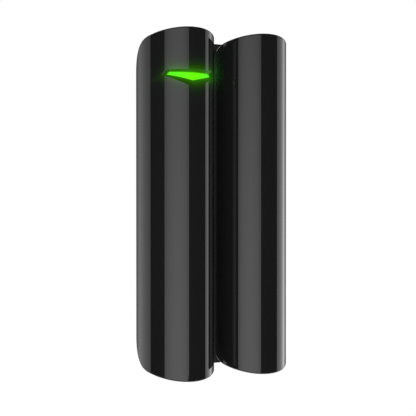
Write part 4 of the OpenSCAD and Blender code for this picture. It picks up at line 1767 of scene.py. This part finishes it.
@dataclass(frozen=True)
class Panel:
    """A tall flat light that stands upright, with its strength along its width."""

    name: str
    start: Pair
    end: Pair
    glow: tuple[Pair, ...]
    half_h: float = 70.0
    level: float = 1.0
    top_fade: float = 0.0028
    middle_z: float = 0.0
    bow: float = 1e-5
    steps: int = 8

    def make(self) -> bpy.types.Object:
        """Makes the light.

        Returns:
            The light's mesh, which the camera doesn't see.
        """
        start, across = Vector(self.start), Vector(self.end) - Vector(self.start)
        heights = spread(-self.half_h, self.half_h, self.steps)
        points, values, faces = [], [], []
        for share, strength in self.glow:
            spot = start + across * share
            for height in heights:
                points.append((spot.x * MM, spot.y * MM, (self.middle_z + height) * MM))
                values.append(strength * (self.level - self.top_fade * height - self.bow * height**2))
        tall = len(heights)
        for i in range(len(self.glow) - 1):
            for k in range(i * tall, (i + 1) * tall - 1):
                faces.append((k, k + tall, k + tall + 1, k + 1))
        mesh = bpy.data.meshes.new(self.name)
        mesh.from_pydata(points, [], faces)
        mesh.attributes.new("strength", "FLOAT", "POINT").data.foreach_set("value", values)
        shader = Shader(self.name)
        level = shader.add("ShaderNodeAttribute")
        level.attribute_name = "strength"
        shader.show(shader.add("ShaderNodeEmission", Strength=level.outputs["Fac"]))
        return stage_piece(mesh, shader.material, casts=True)


@dataclass(frozen=True)
class Card:
    """Dark blocks, which only the object's gloss shows."""

    name: str
    level: float
    blocks: tuple[tuple[Triple, Triple, float], ...]

    def make(self) -> None:
        """Makes the card."""
        skin = Skin()
        for low, high, edge in self.blocks:
            skin.block(low, high, edge)
        stage_skin(skin, self.name, self.level)


@dataclass
class Studio:
    """Camera, lights, dark walls and pale floor."""

    eye: Triple = (-0.13554, -0.25117, 0.00217)
    look: Triple = (0.51804, 0.85497, -0.01147)
    lens_mm: float = 91.3
    room_light: float = 0.5
    dark_wall: float = 0.045
    wall_r: float = 2600.0
    wall_reach: float = math.radians(125)
    wall_steps: int = 18
    fill_watts: float = 0.8
    fill_size: float = 0.12
    fill_spot: Triple = (-0.17, -0.36, 0.02)
    floor_z: float = -0.28
    floor_r: float = 0.9
    floor_glow: float = 0.25
    floor_fade: Pair = (0.55, 0.98)
    cards: tuple[Card, ...] = (
        Card(
            "black_card",
            0.03,
            (
                ((-8.0, -0.6, -47.0), (7.0, -0.4, 47.0), 0.05),
                ((-15.0, -0.6, 44.3), (-8.0, -0.4, 47.0), 0.05),
                ((-15.0, -0.6, -47.0), (-8.0, -0.4, -44.3), 0.05),
                ((75.0, -190.0, -91.0), (125.0, -90.0, -90.0), 0.1),
            ),
        ),
        Card("grey_card", 0.085, (((7.0, -0.6, -43.6), (18.0, -0.4, 43.6), 0.05),)),
    )
    panels: tuple[Panel, ...] = (
        Panel(
            "left_light",
            (-135.0, 18.7),
            (-28.0, 120.0),
            (
                (0.0, 1.07), (0.07, 1.11), (0.13, 1.16), (0.2, 1.23), (0.3, 1.33), (0.38, 1.42),
                (0.45, 1.48), (0.55, 1.47), (0.65, 1.42), (0.73, 1.25), (0.85, 0.8), (1.0, 0.5),
                (1.1, 0.3),
            ),
            half_h=72.0,
            level=0.96,
        ),
        Panel(
            "centre_light",
            (-105.4, -76.5),
            (37.8, -204.5),
            (
                (0.0, 1.12), (0.03, 1.29), (0.06, 1.42), (0.12, 1.63), (0.2, 1.82), (0.3, 1.95),
                (0.4, 1.99), (0.5, 1.97), (0.6, 1.9), (0.7, 1.79), (0.8, 1.63), (0.88, 1.48),
                (0.94, 1.36), (1.0, 1.2),
            ),
            half_h=75.0,
            level=0.955,
        ),
        Panel(
            "right_light",
            (76.6, -45.1),
            (200.0, 90.0),
            (
                (0.0, 1.12), (0.04, 1.28), (0.08, 1.38), (0.12, 1.53), (0.17, 1.78), (0.235, 2.12),
                (0.3, 2.65), (0.36, 2.85), (0.42, 2.0), (0.52, 1.15), (0.8, 0.7), (1.2, 0.45),
            ),
            half_h=74.0,
            level=0.975,
        ),
        *(
            Panel(
                name, (-30.0, 150.0), (70.0, 150.0), ((0.0, 1.0), (1.0, 1.0)),
                half_h=24.0, level=2.6, top_fade=0.0, middle_z=middle_z,
            )
            for name, middle_z in (("high_strip", 88.0), ("low_strip", -88.0))
        ),
    )

    def camera(self) -> None:
        """Adds the camera."""
        data = bpy.data.cameras.new("camera")
        data.lens = self.lens_mm
        data.clip_start = 0.01
        camera = placed("camera", data)
        camera.location = self.eye
        camera.rotation_euler = Vector(self.look).to_track_quat("-Z", "Y").to_euler()
        bpy.context.scene.camera = camera

    def world(self) -> None:
        """Sets an even room light, with white behind what the camera sees."""
        world = bpy.data.worlds.new("room")
        world.use_nodes = True
        bpy.context.scene.world = world
        nodes, links = world.node_tree.nodes, world.node_tree.links
        plain = nodes["Background"]
        plain.inputs["Color"].default_value = (1, 1, 1, 1)
        plain.inputs["Strength"].default_value = self.room_light
        white = nodes.new("ShaderNodeBackground")
        white.inputs["Color"].default_value = (1, 1, 1, 1)
        mix = nodes.new("ShaderNodeMixShader")
        mixed(links, mix, self.seen(nodes, links), plain.outputs[0], white.outputs[0])
        links.new(mix.outputs[0], nodes["World Output"].inputs["Surface"])

    @staticmethod
    def seen(nodes: bpy.types.Nodes, links: bpy.types.NodeLinks) -> bpy.types.NodeSocket:
        """Returns 1 for rays of the camera, of gloss and of glass, and 0 for others.

        Args:
            nodes: The nodes of a material or of the world.
            links: Their links.

        Returns:
            The number, as a socket.
        """
        path = nodes.new("ShaderNodeLightPath")
        total = path.outputs["Is Camera Ray"]
        for name in ("Is Glossy Ray", "Is Transmission Ray"):
            step = nodes.new("ShaderNodeMath")
            step.operation = "MAXIMUM"
            links.new(total, step.inputs[0])
            links.new(path.outputs[name], step.inputs[1])
            total = step.outputs[0]
        return total

    def walls(self) -> None:
        """Adds the dark studio walls, and the dark cards in and below the gap of the columns."""
        walls = Skin()
        angles = spread(0.0, self.wall_reach, self.wall_steps)
        arc = [(self.wall_r * math.sin(a), self.wall_r * math.cos(a)) for a in angles]
        walls.turned((0, 0, 0), (0, 0, 1), arc, 48)
        stage_skin(walls, "dark_walls", self.dark_wall)
        for card in self.cards:
            card.make()

    def fill_light(self) -> None:
        """Adds a soft light beside the camera, which only dull surfaces answer to."""
        light = dull_light("fill_light", "DISK", self.fill_watts)
        light.data.size = self.fill_size
        light.location = self.fill_spot
        light.rotation_euler = (-light.location).to_track_quat("-Z", "Y").to_euler()

    def floor(self) -> None:
        """Adds the pale floor, which keeps the object's shadow and fades out at its rim."""
        skin = Skin()
        rings = [(r, 0.0) for r in spread(0.0, self.floor_r / MM, 12)]
        skin.turned((0, 0, 0), (0, 0, 1), rings, 64)
        floor = placed("floor", skin.mesh("floor"))
        floor.location.z = self.floor_z
        shader = Shader("pale_floor")
        fine = shader.noise(60.0, detail=4.0)
        shader.set(
            Base_Color=shader.blend(fine, (0.8, 0.8, 0.8), (0.77, 0.77, 0.77)),
            Roughness=0.9,
            Emission_Color=(1.0, 1.0, 1.0, 1.0),
            Emission_Strength=shader.math(
                "MULTIPLY", self.seen(shader.nodes, shader.links), self.floor_glow
            ),
        )
        away = shader.spot_distance((0, 0, 0), (self.floor_r / MM,) * 3)
        clear = shader.between(away, 0.0, 1.0, *self.floor_fade)
        see_through = shader.add("ShaderNodeBsdfTransparent").outputs[0]
        mix = shader.add("ShaderNodeMixShader")
        shader.show(mixed(shader.links, mix, clear, shader.surface.outputs[0], see_through))
        floor.data.materials.append(shader.material)

    def build(self) -> None:
        """Adds everything in the studio."""
        self.camera()
        self.world()
        self.walls()
        self.fill_light()
        self.floor()
        for panel in self.panels:
            panel.make()
        bpy.context.scene.view_settings.view_transform = "Standard"


def dress_solids() -> None:
    """Gives every solid that shows itself its finish and its soft edges."""
    plastics = {
        Plastic.SATIN_BLACK: dict.fromkeys(
            ("mounting_bracket", "rear_tray", "magnet_plate", "magnet_tray"), 0.15
        ),
        Plastic.SWITCH_BLACK: {"tamper_switch": 0.1, "power_switch": 0.1},
        Plastic.LAMP_WHITE: {"lamp_chip": 0.05},
        Plastic.PLUNGER_WHITE: {"tamper_plunger": 0.1},
        Plastic.BUTTON_GREY: {"power_button": 0.12},
        Plastic.TERMINAL_GREEN: {"terminal_block": 0.12},
        Plastic.CRADLE_GREY: {"magnet_cradle": 0.15},
    }
    metals = {
        Plating.ZINC: {"board_screws": 0.06, "cradle_screws": 0.06},
        Plating.TIN: {"radio_shield": 0.08, "terminal_pins": 0.06},
        Plating.NICKEL: {"timing_crystal": 0.1, "cell_plate": 0.06, "cell_strap": 0.06, "bar_magnet": 0.3},
        Plating.BARE_ALLOY: {
            "main_reed_leads": 0.0,
            "main_reed_blade": 0.03,
            "guard_reed_leads": 0.0,
            "guard_reed_blade": 0.03,
        },
    }
    for plastic, nodes in plastics.items():
        material = GrainedPlastic(plastic).build()
        for node, edge in nodes.items():
            dress(node, material, edge)
    for plating, nodes in metals.items():
        material = Metal(plating).build()
        for node, edge in nodes.items():
            dress(node, material, edge)
    glass = SealedGlass().build()
    for node in ("main_reed_glass", "guard_reed_glass"):
        dress(node, glass)
    low, high = (corner.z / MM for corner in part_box("cell"))
    bare_low, bare_high = 0.6, 1.6
    dress("cell", CellWrap(low + bare_low, high - bare_high).build(), 0.15)
    dress("circuit_board", BoardMask().build(), 0.06)


def main() -> None:
    """Builds the sensor's looks and the studio round it."""
    logging.basicConfig(level=logging.INFO, format="%(message)s")
    detector = Column.of("front_cover")
    window = Window(detector)
    # The detector cover's material has the lens's glow painted into it as emission.
    lit = PolishedBlack("polished_black_painted_glow", glow=window.glow()).build()
    cover = Cover(detector, "detector_cover", "front_cover", "cover", window).make(lit)
    lens = window.lens(LitLens().build())
    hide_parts("lamp_lens")
    SideGlow(detector).make(cover)
    Cover(Column.of("magnet_cover"), "magnet_column_cover", "magnet_cover", "magnet").make(
        PolishedBlack().build()
    )
    dress_solids()
    Board().make()
    Coil(
        "cell_coil", "cell_spring", "nickel", base=(0.0, -11.1, -31.15), axis=(0, 0, 1),
        radii=(5.2, 3.0), height=1.6, turns=3.0, wire_r=0.3,
    ).make()
    tamper = Coil(
        "tamper_coil", "tamper_spring", "nickel", base=(0.0, -9.75, 10.2), axis=(0, 1, 0),
        radii=(1.2, 1.2), height=2.2, turns=4.0, wire_r=0.15,
    ).make()
    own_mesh(tamper)
    SnapDome().make()
    FoamPad().make()
    Studio().build()


if __name__ == "__main__":
    main()
